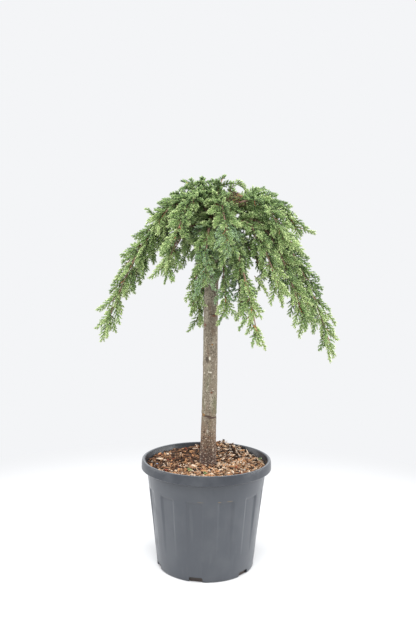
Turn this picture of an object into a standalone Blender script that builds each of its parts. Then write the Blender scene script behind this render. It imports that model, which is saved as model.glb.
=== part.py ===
"""A shore juniper worked on top of a straight stem, weeping, in a fluted nursery pot.

Lengths are metres and +Z is up. The origin is the middle of the pot's flat underside.
The front is -Y and the right-hand side +X. An azimuth is counted in degrees from +X
towards +Y, so 0 is the right, 90 the rear, 180 the left and 270 the front.
"""

import math
import random
from typing import NamedTuple

import bmesh
import bpy
import numpy as np
from mathutils import Matrix, Vector
from mathutils.bvhtree import BVHTree

SEED = 43
GAP = 0.0003  # air between two pieces that touch
SHARP_FROM = math.radians(40)  # edges that turn more than this are drawn sharp

# The pot, turned, with flutes and foot notches cut into it.
POT_HEIGHT = 0.2835
POT_BASE_RADIUS = 0.1287
POT_BODY_TOP = 0.2535  # height of the ledge under the rim band
POT_BODY_TOP_RADIUS = 0.158
POT_WALL = 0.0055
POT_FLOOR = 0.014
POT_STEPS = 48
RIM_BAND_RADIUS = 0.173
RIM_CREST_RADIUS = 0.168
RIM_BAND_BOTTOM = 0.2585
RIM_LIP = 0.0045  # thickness of the lip at its crest
LIP_FALL = 0.002  # how much lower the lip's inner edge is than its crest
RIM_ROUND = 0.003  # how far the crest's outer edge is rounded out
BAND_SHOULDER = 0.0005, 0.008  # how far in and how far below the crest the band's upper corner is
BAND_CORNER = 0.002  # size of the sloped corner at the foot of the band
LEDGE_THICKNESS = 0.0025
LEDGE_OUT = 0.007  # how far the ledge under the rim band slopes outwards
THROAT_RISE = 0.008  # from the ledge inside to the throat under the lip
FOOT_CHAMFER = 0.002
FLUTES = 12
FLUTE_OFFSET = 19.5  # azimuth of one flute's middle
FLUTE_WIDTH = 0.040
FLUTE_DEPTH = 0.0032
FLUTE_TOP = 0.213
FLUTE_BOTTOM = 0.060
FLUTE_CORNER = 0.008
FLUTE_CUTTER = 0.03  # thickness of the block that cuts a flute
NOTCH_WIDTH = 0.035
NOTCH_HEIGHT = 0.0125
NOTCH_DEPTH = 0.006
NOTCH_CORNER = 0.005

# The bark mulch that fills the pot.
MULCH_STEPS = 24  # half of the pot's, so that its corners meet corners of the wall
MULCH_SEAT = 0.268  # height of the flat place where the trunk stands
MULCH_SEAT_RADIUS = 0.027
MULCH_RINGS = (0.045, 0.068, 0.092, 0.116, 0.138)
MULCH_SLOPE = 0.11  # how far out from the seat its heaps and hollows are full
# Its heaps and hollows: height, azimuth of the middle and spread in degrees.
MULCH_HEAPS = (
    (0.0195, 72, 28),
    (0.0020, 138, 34),
    (-0.003, 16, 22),
)
# Its lumps: the height of two waves, and the radians that each turns through in a metre of X and Y.
MULCH_LUMPS = (0.0016, 71, 63), (0.0009, 97, 139)
LUMP_SHIFT = 1.3

# The trunk, from its cut at the mulch to the head that the boughs leave.
TRUNK_TOP = 0.925
TRUNK_FOOT_X = 0.0036
TRUNK_LEAN = 0.42  # degrees, to the right
TRUNK_BEND = 0.0006
TRUNK_BEND_LENGTH = 0.46
TRUNK_BEND_BACK = 0.3  # share of the bend that goes to the rear as well
TRUNK_RADIUS = 0.0203
TRUNK_TOP_RADIUS = 0.0180
FLARE = 0.0036  # what the root flare adds to the radius
FLARE_HEIGHT = 0.030
HEAD_SWELL = 0.0022  # what the old graft adds
HEAD_HEIGHT = 0.86
HEAD_LENGTH = 0.045
TRUNK_RINGS = 15
RING_CROWDING = 1.5  # above 1 the rings are closer at the foot, where the flare is
TRUNK_SIDES = 14

# Limbs and foliage.
RISE_PULL = 0.55  # share of the crest's radius at which an arm's rise turns over
FALL_PULL = 0.42  # share of the way from crest to tip at which its fall turns down
BOUGH_RADIUS = 0.0060
BOUGH_TIP_RADIUS = 0.0034
BOUGH_STEP = 0.034
BOUGH_SIDES = 6
RISE_POINTS, FALL_POINTS = 24, 40  # along an arm's centre line
SQUARE_END = 0.003  # length of the straight end with which a bough and a stem meet squarely
STEM_TIP_RADIUS = 0.0013
TWIG_RADIUS = 0.0017
TWIG_TIP_RADIUS = 0.0011
STEM_RINGS = 7
STEM_STOP = 0.80  # share of a spray's length by which the stem ends before the mass does
TIP_FACES = (0.3, 1.0, 0.2)  # across which the spray at a stem's end lies
FULLEST = 0.33  # share of a stem at which the foliage stands out furthest
BASE_WIDTH = 0.80  # share of the full width at its start
TIP_NARROWING = 0.36  # share of it that is lost from the fullest place to the tip
FIRST_SHOOT = 0.6  # steps from a stem's start to its first shoot
LOOK_AHEAD = 0.02  # share of a stem over which its direction is taken
SHOOT_SIZES = (0.86, 1.08)  # of the kind's spray
SHOOT_SHORTENING = 0.22  # share that sprays lose from a stem's start to its end
SHOOT_DROOP = 0.16
SHOOT_ROLLS = (-20, 65)  # how far side shoots turn out of the crown from straight sideways, in degrees
GOLDEN_ANGLE = 137.5  # from one shoot to the next where they stand all round
# What a side shoot tries in turn: its size, its angle to the stem and its twist, in degrees.
SHOOT_TRIES = (
    (1.0, 42, 0),
    (1.0, 30, 20),
    (0.85, 50, -20),
    (0.8, 24, 0),
    (0.65, 40, 20),
    (0.55, 60, -20),
)
ANGLE_DRAW = 5  # degrees by which the angle of a shoot is drawn either way
TWIST_DRAW = 12
FORK_MIDDLE = 0.55  # share of a twig's length round which its two forks leave
FORK_APART = 0.2
FORK_SPREAD = 0.9
FORK_LIFTS = (0.15, 0.35)  # how far forks lift out of their spray's plane
FORK_SIZE = 0.8  # of the spray at the twig's end
TWIG_TURN = 35  # degrees that a twig is turned on its axis from the spray at its end
TWIG_LEAST = 0.012  # a shorter twig is left out and its spray sits on the stem
SPACE_GAP = 0.0016  # least difference between the ways to a piece's own stem and to the next one
LIMB_GAP = 0.0014  # least air between foliage and any limb
SPRAY_THICKNESS = 0.04  # of its length
ROOT_FREE = 0.010  # sprays may touch each other this near their roots
MERGE = 2e-7  # corners nearer than this are one
SPRAY_SUNK = 0.006  # how deep the root of a spray at a twig's end is sunk in it
# Half the outline of a spray, with two teeth: (along, aside), as shares of its length.
SPRAY_OUTLINE = ((0.30, 0.215), (0.42, 0.100), (0.66, 0.185))
SPRAY_MIDDLE = 0.43


class Growing(NamedTuple):
    """How the foliage on one kind of stem grows."""

    entry: float  # share of the limb's length where it enters the foliage, or 0 for its crest
    width: float  # how far the foliage stands out to each side of its stem
    spray: float  # length of one spray
    step: float  # from one side shoot to the next
    all_round: bool  # or only sideways and out of the crown


WEEPING = Growing(0.0, 0.072, 0.068, 0.0180, True)
SLIM = Growing(0.0, 0.054, 0.060, 0.0190, True)
INNER = Growing(0.0, 0.056, 0.058, 0.0170, True)
DOME = Growing(0.25, 0.072, 0.066, 0.0165, False)
TUFT = Growing(0.0, 0.052, 0.050, 0.0085, True)


class Arm(NamedTuple):
    """One limb with its foliage: it leaves the trunk, arches over a crest and falls to a tip."""

    azimuth: float
    root: float  # height on the trunk
    crest: tuple  # radius and height
    tip: tuple  # radius and height that the foliage reaches
    growing: Growing


ARMS = {
    "left": Arm(184, 0.862, (0.100, 0.924), (0.290, 0.596), WEEPING),
    "left_rear": Arm(164, 0.838, (0.092, 0.922), (0.242, 0.720), WEEPING),
    "left_front": Arm(223, 0.850, (0.080, 0.898), (0.162, 0.772), WEEPING),
    "right": Arm(359, 0.858, (0.112, 0.922), (0.327, 0.560), WEEPING),
    "right_rear": Arm(24, 0.842, (0.114, 0.924), (0.320, 0.628), WEEPING),
    "right_front": Arm(338, 0.846, (0.105, 0.915), (0.256, 0.638), WEEPING),
    "right_middle": Arm(321, 0.824, (0.095, 0.908), (0.220, 0.714), WEEPING),
    "front_right": Arm(300, 0.850, (0.054, 0.880), (0.224, 0.608), SLIM),
    "front": Arm(262, 0.839, (0.068, 0.890), (0.138, 0.745), WEEPING),
    "rear": Arm(93, 0.838, (0.075, 0.905), (0.246, 0.700), WEEPING),
    "rear_right": Arm(64, 0.826, (0.080, 0.905), (0.238, 0.765), WEEPING),
    "rear_left": Arm(128, 0.832, (0.080, 0.902), (0.220, 0.782), WEEPING),
    "front_right_inner": Arm(307, 0.798, (0.062, 0.868), (0.136, 0.662), INNER),
    "front_lime": Arm(286, 0.826, (0.058, 0.872), (0.130, 0.668), INNER),
    "front_left": Arm(236, 0.812, (0.048, 0.860), (0.082, 0.690), INNER),
    "rear_left_inner": Arm(122, 0.800, (0.042, 0.842), (0.064, 0.634), SLIM),
    "right_inner": Arm(354, 0.806, (0.066, 0.868), (0.140, 0.764), INNER),
    "dome_right": Arm(10, 0.900, (0.124, 0.974), (0.246, 0.884), DOME),
    "dome_right_rear": Arm(43, 0.894, (0.108, 0.970), (0.232, 0.868), DOME),
    "dome_rear_right": Arm(76, 0.900, (0.095, 0.966), (0.215, 0.850), DOME),
    "dome_rear_left": Arm(110, 0.894, (0.090, 0.964), (0.205, 0.850), DOME),
    "dome_left_rear": Arm(152, 0.900, (0.096, 0.964), (0.186, 0.890), DOME),
    "dome_left_front": Arm(198, 0.894, (0.078, 0.964), (0.162, 0.884), DOME),
    "dome_front_left": Arm(237, 0.900, (0.080, 0.964), (0.178, 0.836), DOME),
    "dome_front": Arm(281, 0.894, (0.085, 0.954), (0.190, 0.815), DOME),
    "dome_right_front": Arm(328, 0.900, (0.110, 0.962), (0.226, 0.838), DOME),
}


class Cap(NamedTuple):
    """Foliage on a short stem of its own that stands on the trunk's cut top."""

    azimuth: float
    tip: tuple  # radius and height
    growing: Growing


CAPS = {
    "top_right": Cap(20, (0.066, 1.006), TUFT),
    "top_left": Cap(176, (0.076, 1.014), TUFT),
    "top_rear": Cap(98, (0.056, 1.012), TUFT),
    "top_front": Cap(292, (0.058, 1.013), TUFT),
    "top_front_left": Cap(228, (0.066, 1.015), TUFT),
}
CAP_FOOT_RADIUS = 0.0085  # how far from the trunk's axis those stems stand
CAP_RISE = 0.9  # share of its height at which a cap's stem turns outwards

# Colours in linear light, with roughness.
PLASTIC = (0.118, 0.132, 0.155), 0.46
BARK_CHIPS = (0.245, 0.150, 0.098), 0.90
TRUNK_BARK = (0.275, 0.228, 0.165), 0.82
TWIG_BARK = (0.150, 0.088, 0.056), 0.80
GREENS = ((0.105, 0.190, 0.058), (0.082, 0.160, 0.060), (0.135, 0.225, 0.070), (0.090, 0.175, 0.085))
NEEDLE_ROUGHNESS = 0.60


def cleared_scene():
    """Takes the objects of the start-up scene away and returns its root collection."""
    for old in list(bpy.data.objects):
        bpy.data.objects.remove(old, do_unlink=True)
    return bpy.context.scene.collection


def new_collection(name, parent):
    made = bpy.data.collections.new(name)
    parent.children.link(made)
    return made


def finish_of(name, colour, roughness):
    material = bpy.data.materials.new(name)
    material.use_nodes = True
    shader = material.node_tree.nodes["Principled BSDF"]
    shader.inputs["Base Color"].default_value = (*colour, 1.0)
    shader.inputs["Roughness"].default_value = roughness
    shader.inputs["Metallic"].default_value = 0.0
    material.diffuse_color = (*colour, 1.0)
    return material


def baked(source, name, collection):
    """A plain mesh object in place of one whose curve or modifiers made its shape."""
    bpy.context.view_layer.update()
    evaluated = source.evaluated_get(bpy.context.evaluated_depsgraph_get())
    mesh = bpy.data.meshes.new_from_object(evaluated)
    welded = bmesh.new()
    welded.from_mesh(mesh)
    bmesh.ops.remove_doubles(welded, verts=welded.verts, dist=1e-6)
    bmesh.ops.recalc_face_normals(welded, faces=welded.faces)
    welded.to_mesh(mesh)
    welded.free()
    mesh.shade_smooth()
    mesh.set_sharp_from_angle(angle=SHARP_FROM)
    made = bpy.data.objects.new(name, mesh)
    made.matrix_world = source.matrix_world
    bpy.data.objects.remove(source, do_unlink=True)
    made.name = name
    collection.objects.link(made)
    return made


def turned(name, profile, steps, collection):
    """A profile of (radius, height) points turned once about Z, closed on the axis."""
    mesh = bpy.data.meshes.new(name)
    points = [(radius, 0.0, height) for radius, height in profile]
    mesh.from_pydata(points, [(i, i + 1) for i in range(len(points) - 1)], [])
    made = bpy.data.objects.new(name, mesh)
    collection.objects.link(made)
    screw = made.modifiers.new("turn", "SCREW")
    screw.steps = steps
    screw.render_steps = steps
    screw.use_merge_vertices = True
    screw.merge_threshold = 0.0001
    screw.use_smooth_shade = False
    return made


def cut(made, cutter):
    """Cuts the cutter's shape out of an object, and hides the cutter."""
    boolean = made.modifiers.new("cut", "BOOLEAN")
    boolean.operation = "DIFFERENCE"
    boolean.solver = "EXACT"
    boolean.object = cutter
    cutter.display_type = "WIRE"
    cutter.hide_render = True


def block(name, size, corner, collection):
    """A box with its middle at the origin, whose four edges along X are rounded."""
    mesh = bpy.data.meshes.new(name)
    shape = bmesh.new()
    bmesh.ops.create_cube(shape, size=1.0, matrix=Matrix.Diagonal((*size, 1.0)))
    along_x = [e for e in shape.edges if abs((e.verts[0].co - e.verts[1].co).x) > size[0] / 2]
    bmesh.ops.bevel(shape, geom=along_x, offset=corner, segments=1, profile=0.5, affect="EDGES")
    shape.to_mesh(mesh)
    shape.free()
    made = bpy.data.objects.new(name, mesh)
    collection.objects.link(made)
    return made


def wall_radius(height):
    """The outer radius of the pot's tapering body."""
    return POT_BASE_RADIUS + (POT_BODY_TOP_RADIUS - POT_BASE_RADIUS) * height / POT_BODY_TOP


def pot_inside():
    """The inner wall as (radius, height) points, from the floor up to the lip."""
    ledge = POT_BODY_TOP + LEDGE_THICKNESS
    throat = RIM_CREST_RADIUS - 2 * RIM_LIP
    return (
        (wall_radius(POT_FLOOR) - POT_WALL, POT_FLOOR),
        (wall_radius(ledge) - POT_WALL, ledge),
        (throat, ledge + THROAT_RISE),
        (RIM_CREST_RADIUS - RIM_LIP, POT_HEIGHT - LIP_FALL),
    )


def pot_outside():
    """The outer wall as (radius, height) points, from the lip down to the foot."""
    return (
        (RIM_CREST_RADIUS - RIM_LIP / 2, POT_HEIGHT),
        (RIM_CREST_RADIUS, POT_HEIGHT),
        (RIM_CREST_RADIUS + RIM_ROUND, POT_HEIGHT - RIM_ROUND / 2),
        (RIM_BAND_RADIUS - BAND_SHOULDER[0], POT_HEIGHT - BAND_SHOULDER[1]),
        (RIM_BAND_RADIUS, RIM_BAND_BOTTOM + BAND_CORNER),
        (RIM_BAND_RADIUS - BAND_CORNER, RIM_BAND_BOTTOM),
        (POT_BODY_TOP_RADIUS + LEDGE_OUT, RIM_BAND_BOTTOM - BAND_CORNER),
        (POT_BODY_TOP_RADIUS, POT_BODY_TOP),
        (POT_BASE_RADIUS, FOOT_CHAMFER),
        (POT_BASE_RADIUS - FOOT_CHAMFER, 0.0),
    )


def pot(parts, cutters, finish):
    profile = ((0.0, POT_FLOOR), *pot_inside(), *pot_outside(), (0.0, 0.0))
    made = baked(turned("pot", profile, POT_STEPS, parts), "pot", parts)
    made.data.materials.append(finish)
    slope = math.atan2(POT_BODY_TOP_RADIUS - POT_BASE_RADIUS, POT_BODY_TOP)
    fade = math.atan2(FLUTE_DEPTH, FLUTE_TOP - FLUTE_BOTTOM)  # runs the flute out at its lower end
    for index in range(FLUTES):
        azimuth = math.radians(FLUTE_OFFSET + 360 * index / FLUTES)
        spin = Matrix.Rotation(azimuth, 4, "Z")
        size = (FLUTE_CUTTER, FLUTE_WIDTH, FLUTE_TOP - FLUTE_BOTTOM)
        flute = block(f"flute_{index}", size, FLUTE_CORNER, cutters)
        foot = Vector((wall_radius(FLUTE_BOTTOM), 0.0, FLUTE_BOTTOM))
        lean = Matrix.Rotation(slope - fade, 4, "Y")
        to_foot = Matrix.Translation((FLUTE_CUTTER / 2, 0.0, (FLUTE_TOP - FLUTE_BOTTOM) / 2))
        flute.matrix_world = spin @ Matrix.Translation(foot) @ lean @ to_foot
        cut(made, flute)
        if index % 2 == 0:
            size = (2 * NOTCH_DEPTH, NOTCH_WIDTH, 2 * NOTCH_HEIGHT)
            notch = block(f"notch_{index}", size, NOTCH_CORNER, cutters)
            notch.matrix_world = spin @ Matrix.Translation((POT_BASE_RADIUS, 0.0, 0.0))
            cut(made, notch)
    return made


def mulch_height(x, y):
    """The heaped top of the mulch: highest at the right rear, lowest at the right."""
    radius = math.hypot(x, y)
    out = max(0.0, (radius - MULCH_SEAT_RADIUS) / MULCH_SLOPE)
    azimuth = math.degrees(math.atan2(y, x))
    rise = 0.0
    for height, middle, spread in MULCH_HEAPS:
        rise += height * math.exp(-(((azimuth - middle) / spread) ** 2))
    (coarse, coarse_x, coarse_y), (fine, fine_x, fine_y) = MULCH_LUMPS
    lumps = coarse * math.sin(coarse_x * x + LUMP_SHIFT) * math.cos(coarse_y * y)
    lumps += fine * math.sin(fine_x * x + fine_y * y)
    return MULCH_SEAT + min(out, 1.0) * rise + lumps * min(1.0, 3 * out)


def inner_radius(height):
    """The pot's inner radius at a height."""
    radii, heights = zip(*pot_inside())
    return float(np.interp(height, heights, radii))


def mulch(parts, finish):
    inside = pot_inside()
    edge = (inner_radius(MULCH_SEAT) - GAP, MULCH_SEAT)
    rings = [(radius, MULCH_SEAT) for radius in MULCH_RINGS]
    sides = [(radius - GAP, height) for radius, height in reversed(inside[1:3])]
    floor = (inside[0][0] - GAP, POT_FLOOR + GAP)
    seat = ((0.0, MULCH_SEAT), (MULCH_SEAT_RADIUS, MULCH_SEAT))
    profile = (*seat, *rings, edge, *sides[1:], floor, (0.0, floor[1]))
    made = baked(turned("bark_mulch", profile, MULCH_STEPS, parts), "bark_mulch", parts)
    for vertex in made.data.vertices:
        place = vertex.co
        if place.z < MULCH_SEAT - GAP / 2:
            continue
        radius = math.hypot(place.x, place.y)
        if radius > MULCH_SEAT_RADIUS + GAP:
            place.z = mulch_height(place.x, place.y)
        if radius > MULCH_RINGS[-1] + GAP:
            place.xy *= (inner_radius(place.z) - GAP) / radius
    made.data.materials.append(finish)
    return made


def trunk_axis(height):
    """The middle of the trunk at a height: a slight lean with a slow bend in it."""
    rise = height - MULCH_SEAT
    bend = TRUNK_BEND * (1 - math.cos(2 * math.pi * rise / TRUNK_BEND_LENGTH))
    lean = rise * math.tan(math.radians(TRUNK_LEAN))
    return Vector((TRUNK_FOOT_X + lean + bend, TRUNK_BEND_BACK * bend, height))


def trunk_radius(height):
    share = (height - MULCH_SEAT) / (TRUNK_TOP - MULCH_SEAT)
    taper = TRUNK_RADIUS + (TRUNK_TOP_RADIUS - TRUNK_RADIUS) * share
    flare = FLARE * math.exp(-(height - MULCH_SEAT) / FLARE_HEIGHT)
    swell = HEAD_SWELL * math.exp(-(((height - HEAD_HEIGHT) / HEAD_LENGTH) ** 2))
    return taper + flare + swell


def tube(name, points, radii, sides, collection):
    """A tapering limb along points, with flat ends, made as a curve and then a mesh."""
    curve = bpy.data.curves.new(name, "CURVE")
    curve.dimensions = "3D"
    curve.bevel_depth = radii[0]
    curve.bevel_resolution = (sides - 4) // 2
    curve.use_fill_caps = True
    line = curve.splines.new("POLY")
    line.points.add(len(points) - 1)
    for knot, place, radius in zip(line.points, points, radii):
        knot.co = (*place, 1.0)
        knot.radius = radius / radii[0]
    source = bpy.data.objects.new(name + "_line", curve)
    collection.objects.link(source)
    return baked(source, name, collection)


def trunk(parts, cutters, finish):
    """The trunk, and the slightly larger copy of it that cuts each bough's foot to fit."""
    low = MULCH_SEAT + GAP
    heights = [low + (TRUNK_TOP - low) * (i / (TRUNK_RINGS - 1)) ** RING_CROWDING for i in range(TRUNK_RINGS)]
    points = [trunk_axis(height) for height in heights]
    radii = [trunk_radius(height) for height in heights]
    made = tube("trunk", points, radii, TRUNK_SIDES, parts)
    for vertex in made.data.vertices:
        if vertex.co.z < (heights[0] + heights[1]) / 2:
            vertex.co.z = low
    made.data.materials.append(finish)
    clearance = tube("trunk_clearance", points, [radius + GAP for radius in radii], TRUNK_SIDES, cutters)
    return made, clearance


def points_at(line, shares):
    """The points at some shares of the length of a line of points."""
    steps = np.linalg.norm(np.diff(line, axis=0), axis=1)
    reach = np.concatenate(([0.0], np.cumsum(steps)))
    wanted = np.array(shares) * reach[-1]
    return np.stack([np.interp(wanted, reach, line[:, axis]) for axis in range(3)], axis=1)


def resampled(line, start, stop, count):
    """Points spread evenly along a line of points, between two shares of its length."""
    return points_at(line, np.linspace(start, stop, count))


def joint(line, share):
    """The place and direction of a line at a share of its length, where two pieces meet squarely."""
    before, place, after = points_at(line, (share - 0.01, share, share + 0.01))
    return place, (after - before) / np.linalg.norm(after - before)


def length_of(line):
    return float(np.linalg.norm(np.diff(line, axis=0), axis=1).sum())


def bezier(a, b, c, count):
    """A quadratic curve through (radius, height) points a and c, pulled towards b."""
    t = np.linspace(0.0, 1.0, count)[:, None]
    return (1 - t) ** 2 * np.array(a) + 2 * t * (1 - t) * np.array(b) + t**2 * np.array(c)


def in_space(flat, azimuth, foot):
    """Turns (radius, height) points to an azimuth round the trunk's axis at its foot."""
    angle = math.radians(azimuth)
    x = foot.x + flat[:, 0] * math.cos(angle)
    y = foot.y + flat[:, 0] * math.sin(angle)
    return np.stack([x, y, flat[:, 1]], axis=1)


def arm_line(arm):
    """The whole centre line of an arm and the share of its length at which its crest lies."""
    (crest_r, crest_z), (tip_r, tip_z) = arm.crest, arm.tip
    rise = bezier((0.0, arm.root), (RISE_PULL * crest_r, crest_z), (crest_r, crest_z), RISE_POINTS)
    pull = (crest_r + FALL_PULL * (tip_r - crest_r), crest_z)
    fall = bezier((crest_r, crest_z), pull, (tip_r, tip_z), FALL_POINTS)
    line = in_space(np.concatenate([rise, fall[1:]]), arm.azimuth, trunk_axis(arm.root))
    return line, length_of(line[: len(rise)]) / length_of(line)


def cap_line(cap):
    """The centre line of a cap's stem: up from the trunk's cut top, then leaning out."""
    foot = trunk_axis(TRUNK_TOP)
    start = (CAP_FOOT_RADIUS, TRUNK_TOP + GAP)
    pull = (RISE_PULL * cap.tip[0], TRUNK_TOP + CAP_RISE * (cap.tip[1] - TRUNK_TOP))
    return in_space(bezier(start, pull, cap.tip, RISE_POINTS), cap.azimuth, foot)


class Lines:
    """Centre lines with radii, kept as straight stretches to measure distances from."""

    def __init__(self):
        self.owners, self.starts, self.ends, self.radii = [], [], [], []

    def add(self, owner, points, radii):
        for start, end, radius in zip(points[:-1], points[1:], radii):
            self.owners.append(owner)
            self.starts.append(start)
            self.ends.append(end)
            self.radii.append(radius)

    def distances(self, points):
        """The distance from each point to each stretch."""
        start = np.array(self.starts)[None]
        run = np.array(self.ends)[None] - start
        offset = np.array(points)[:, None] - start
        share = (offset * run).sum(2) / np.maximum((run * run).sum(2), 1e-12)
        return np.linalg.norm(offset - run * share.clip(0, 1)[..., None], axis=2)

    def nearest_other(self, points, owner):
        """How much nearer each point is to its own line than to any other."""
        far = self.distances(points)
        own = np.array([name == owner for name in self.owners])
        return far[:, ~own].min(1) - far[:, own].min(1)

    def clearance(self, points):
        """The air between each point and the surface of the nearest limb."""
        return (self.distances(points) - np.array(self.radii)[None]).min(1)


def spray_mesh():
    """A spray of needles, one long and flat along Z: a toothed blade, flat behind, ridged in front."""
    right = [Vector((aside, 0.0, along)) for along, aside in SPRAY_OUTLINE]
    left = [Vector((-place.x, 0.0, place.z)) for place in reversed(right)]
    shape = bmesh.new()
    rim = (Vector(), *right, Vector((0.0, 0.0, 1.0)), *left)
    back = shape.faces.new([shape.verts.new(place) for place in rim])
    raised = bmesh.ops.extrude_face_region(shape, geom=[back])["geom"]
    corners = [item for item in raised if isinstance(item, bmesh.types.BMVert)]
    bmesh.ops.pointmerge(shape, verts=corners, merge_co=(0.0, -SPRAY_THICKNESS, SPRAY_MIDDLE))
    bmesh.ops.recalc_face_normals(shape, faces=shape.faces)
    mesh = bpy.data.meshes.new("spray")
    shape.to_mesh(mesh)
    shape.free()
    return mesh


def twig_mesh():
    """A three-sided twig, one long along Z, whose thickness is set by its scale."""
    shape = bmesh.new()
    end = TWIG_TIP_RADIUS / TWIG_RADIUS
    up = Matrix.Translation((0, 0, 0.5))
    size = {"radius1": 1.0, "radius2": end, "depth": 1.0}
    bmesh.ops.create_cone(shape, segments=3, cap_ends=True, matrix=up, **size)
    mesh = bpy.data.meshes.new("twig")
    shape.to_mesh(mesh)
    shape.free()
    return mesh


def facing(root, direction, across, scale):
    """Places a piece at a root with its Z along direction and its X as near as may be to across."""
    along = Vector(direction).normalized()
    normal = along.cross(Vector(across)).normalized()
    aside = normal.cross(along)
    turn = Matrix((aside, normal, along)).transposed().to_4x4()
    return Matrix.Translation(root) @ turn @ Matrix.Diagonal((*scale, 1.0))


def outline_points(mesh, matrix):
    """The corners of a piece and the middles of its edges, in the world."""
    corners = [matrix @ vertex.co for vertex in mesh.vertices]
    middles = [(corners[edge.vertices[0]] + corners[edge.vertices[1]]) / 2 for edge in mesh.edges]
    return corners + middles


class Growth:
    """Grows side shoots on one stem and keeps those that stay in its space."""

    def __init__(self, name, stems, limbs, meshes, rng):
        self.name, self.stems, self.limbs, self.rng = name, stems, limbs, rng
        self.meshes = meshes
        self.pieces = []
        self.blades = []

    def fits(self, kind, matrix):
        """Whether a piece stays in this mass's own space and off the limbs."""
        points = outline_points(self.meshes[kind], matrix)
        apart = self.stems.nearest_other(points, self.name).min() > SPACE_GAP
        return apart and self.limbs.clearance(points).min() > LIMB_GAP

    def crosses(self, matrix, size):
        """Whether a spray would cut through one that is already there, away from its root."""
        mesh = self.meshes["spray"]
        lift = matrix @ Matrix.Translation((0, 0, ROOT_FREE / size))
        corners = [lift @ vertex.co for vertex in mesh.vertices]
        blade = BVHTree.FromPolygons(corners, [tuple(face.vertices) for face in mesh.polygons])
        if any(blade.overlap(other) for other in self.blades):
            return True
        self.blades.append(blade)
        return False

    def spray(self, root, direction, across, length):
        """Adds a spray if it has room, and says whether it did."""
        matrix = facing(root, direction, across, (length,) * 3)
        if not self.fits("spray", matrix) or self.crosses(matrix, length):
            return False
        self.pieces.append(("spray", matrix))
        return True

    def shoot(self, root, tangent, around, reach, length):
        """One side shoot: a spray straight on the stem, or a twig that carries two or three."""
        for share, angle, twist in SHOOT_TRIES:
            angle = math.radians(angle + self.rng.uniform(-ANGLE_DRAW, ANGLE_DRAW))
            direction = tangent * math.cos(angle) + around * math.sin(angle)
            direction = (direction - Vector((0, 0, SHOOT_DROOP))).normalized()
            twist = math.radians(twist + self.rng.uniform(-TWIST_DRAW, TWIST_DRAW))
            across = Matrix.Rotation(twist, 3, direction) @ tangent
            twig = share * (reach - length)
            if twig < TWIG_LEAST:
                if self.spray(root, direction, across, share * min(reach, length)):
                    return
            elif self.spray(root + direction * (twig - SPRAY_SUNK), direction, across, share * length):
                beside = Matrix.Rotation(math.radians(TWIG_TURN), 3, direction) @ across
                matrix = facing(root, direction, beside, (TWIG_RADIUS, TWIG_RADIUS, twig))
                self.pieces.append(("twig", matrix))
                normal = direction.cross(across).normalized()
                for way in (1, -1):
                    lift = normal * self.rng.uniform(*FORK_LIFTS) * way
                    aside = (direction + FORK_SPREAD * normal.cross(direction) * way + lift).normalized()
                    fork = root + direction * twig * (FORK_MIDDLE + FORK_APART * way)
                    self.spray(fork, aside, direction + lift, FORK_SIZE * share * length)
                return


def envelope(share):
    """How far the foliage stands out along a stem, as a share of its full width."""
    belly = (1 - BASE_WIDTH) * math.sin(math.pi * min(1.0, share / (2 * FULLEST)))
    return BASE_WIDTH + belly - TIP_NARROWING * max(0.0, share - FULLEST) / (1 - FULLEST)


def foliage(name, line, square, growing, stems, limbs, meshes, parts, finish):
    """A mass of foliage: a three-sided stem along a line, with side shoots and a spray at its tip."""
    rng = random.Random(f"{SEED} {name}")
    growth = Growth(name, stems, limbs, meshes, rng)
    length = growing.spray
    total = length_of(line)
    stop = 1 - STEM_STOP * length / total
    shares = [0.0, SQUARE_END / total, *np.linspace(0.0, stop, STEM_RINGS)[1:]]
    stem = points_at(line, shares)
    stem[1] = stem[0] + square * SQUARE_END
    end = Vector(stem[-1])
    tip = Vector(line[-1]) - end
    sunk = end - tip.normalized() * SPRAY_SUNK
    growth.spray(sunk, tip.normalized(), tip.cross(TIP_FACES), tip.length + SPRAY_SUNK)
    count = round(total * stop / growing.step)
    for index in range(count):
        share = (index + FIRST_SHOOT) / count
        here, ahead = resampled(line, share * stop, share * stop + LOOK_AHEAD, 2)
        tangent = Vector(ahead - here).normalized()
        side = tangent.cross((0, 0, 1)).normalized()
        out = side.cross(tangent)
        turn = rng.uniform(*SHOOT_ROLLS)
        sideways = turn if index % 2 else 180 - turn
        roll = math.radians(index * GOLDEN_ANGLE if growing.all_round else sideways)
        around = side * math.cos(roll) + out * math.sin(roll)
        size = length * rng.uniform(*SHOOT_SIZES) * (1 - SHOOT_SHORTENING * share)
        growth.shoot(Vector(here), tangent, around, growing.width * envelope(share), size)
    radii = BOUGH_TIP_RADIUS + (STEM_TIP_RADIUS - BOUGH_TIP_RADIUS) * np.array(shares) / stop
    made = three_sided(f"foliage_{name}", stem, radii, parts)
    fuse(made, growth.pieces, meshes)
    made.data.materials.append(finish)
    return made


def three_sided(name, points, radii, collection):
    """A tapering three-sided stem along points."""
    section = bpy.data.curves.new("section", "CURVE")
    ring = section.splines.new("POLY")
    ring.points.add(2)
    ring.use_cyclic_u = True
    for index, knot in enumerate(ring.points):
        angle = 2 * math.pi * index / 3
        knot.co = (math.cos(angle), math.sin(angle), 0.0, 1.0)
    ring_object = bpy.data.objects.new("section", section)
    collection.objects.link(ring_object)
    curve = bpy.data.curves.new(name, "CURVE")
    curve.dimensions = "3D"
    curve.bevel_mode = "OBJECT"
    curve.bevel_object = ring_object
    curve.use_fill_caps = True
    line = curve.splines.new("POLY")
    line.points.add(len(points) - 1)
    for knot, place, radius in zip(line.points, points, radii):
        knot.co = (*place, 1.0)
        knot.radius = radius
    source = bpy.data.objects.new(name + "_line", curve)
    collection.objects.link(source)
    made = baked(source, name, collection)
    bpy.data.objects.remove(ring_object, do_unlink=True)
    return made


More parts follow.
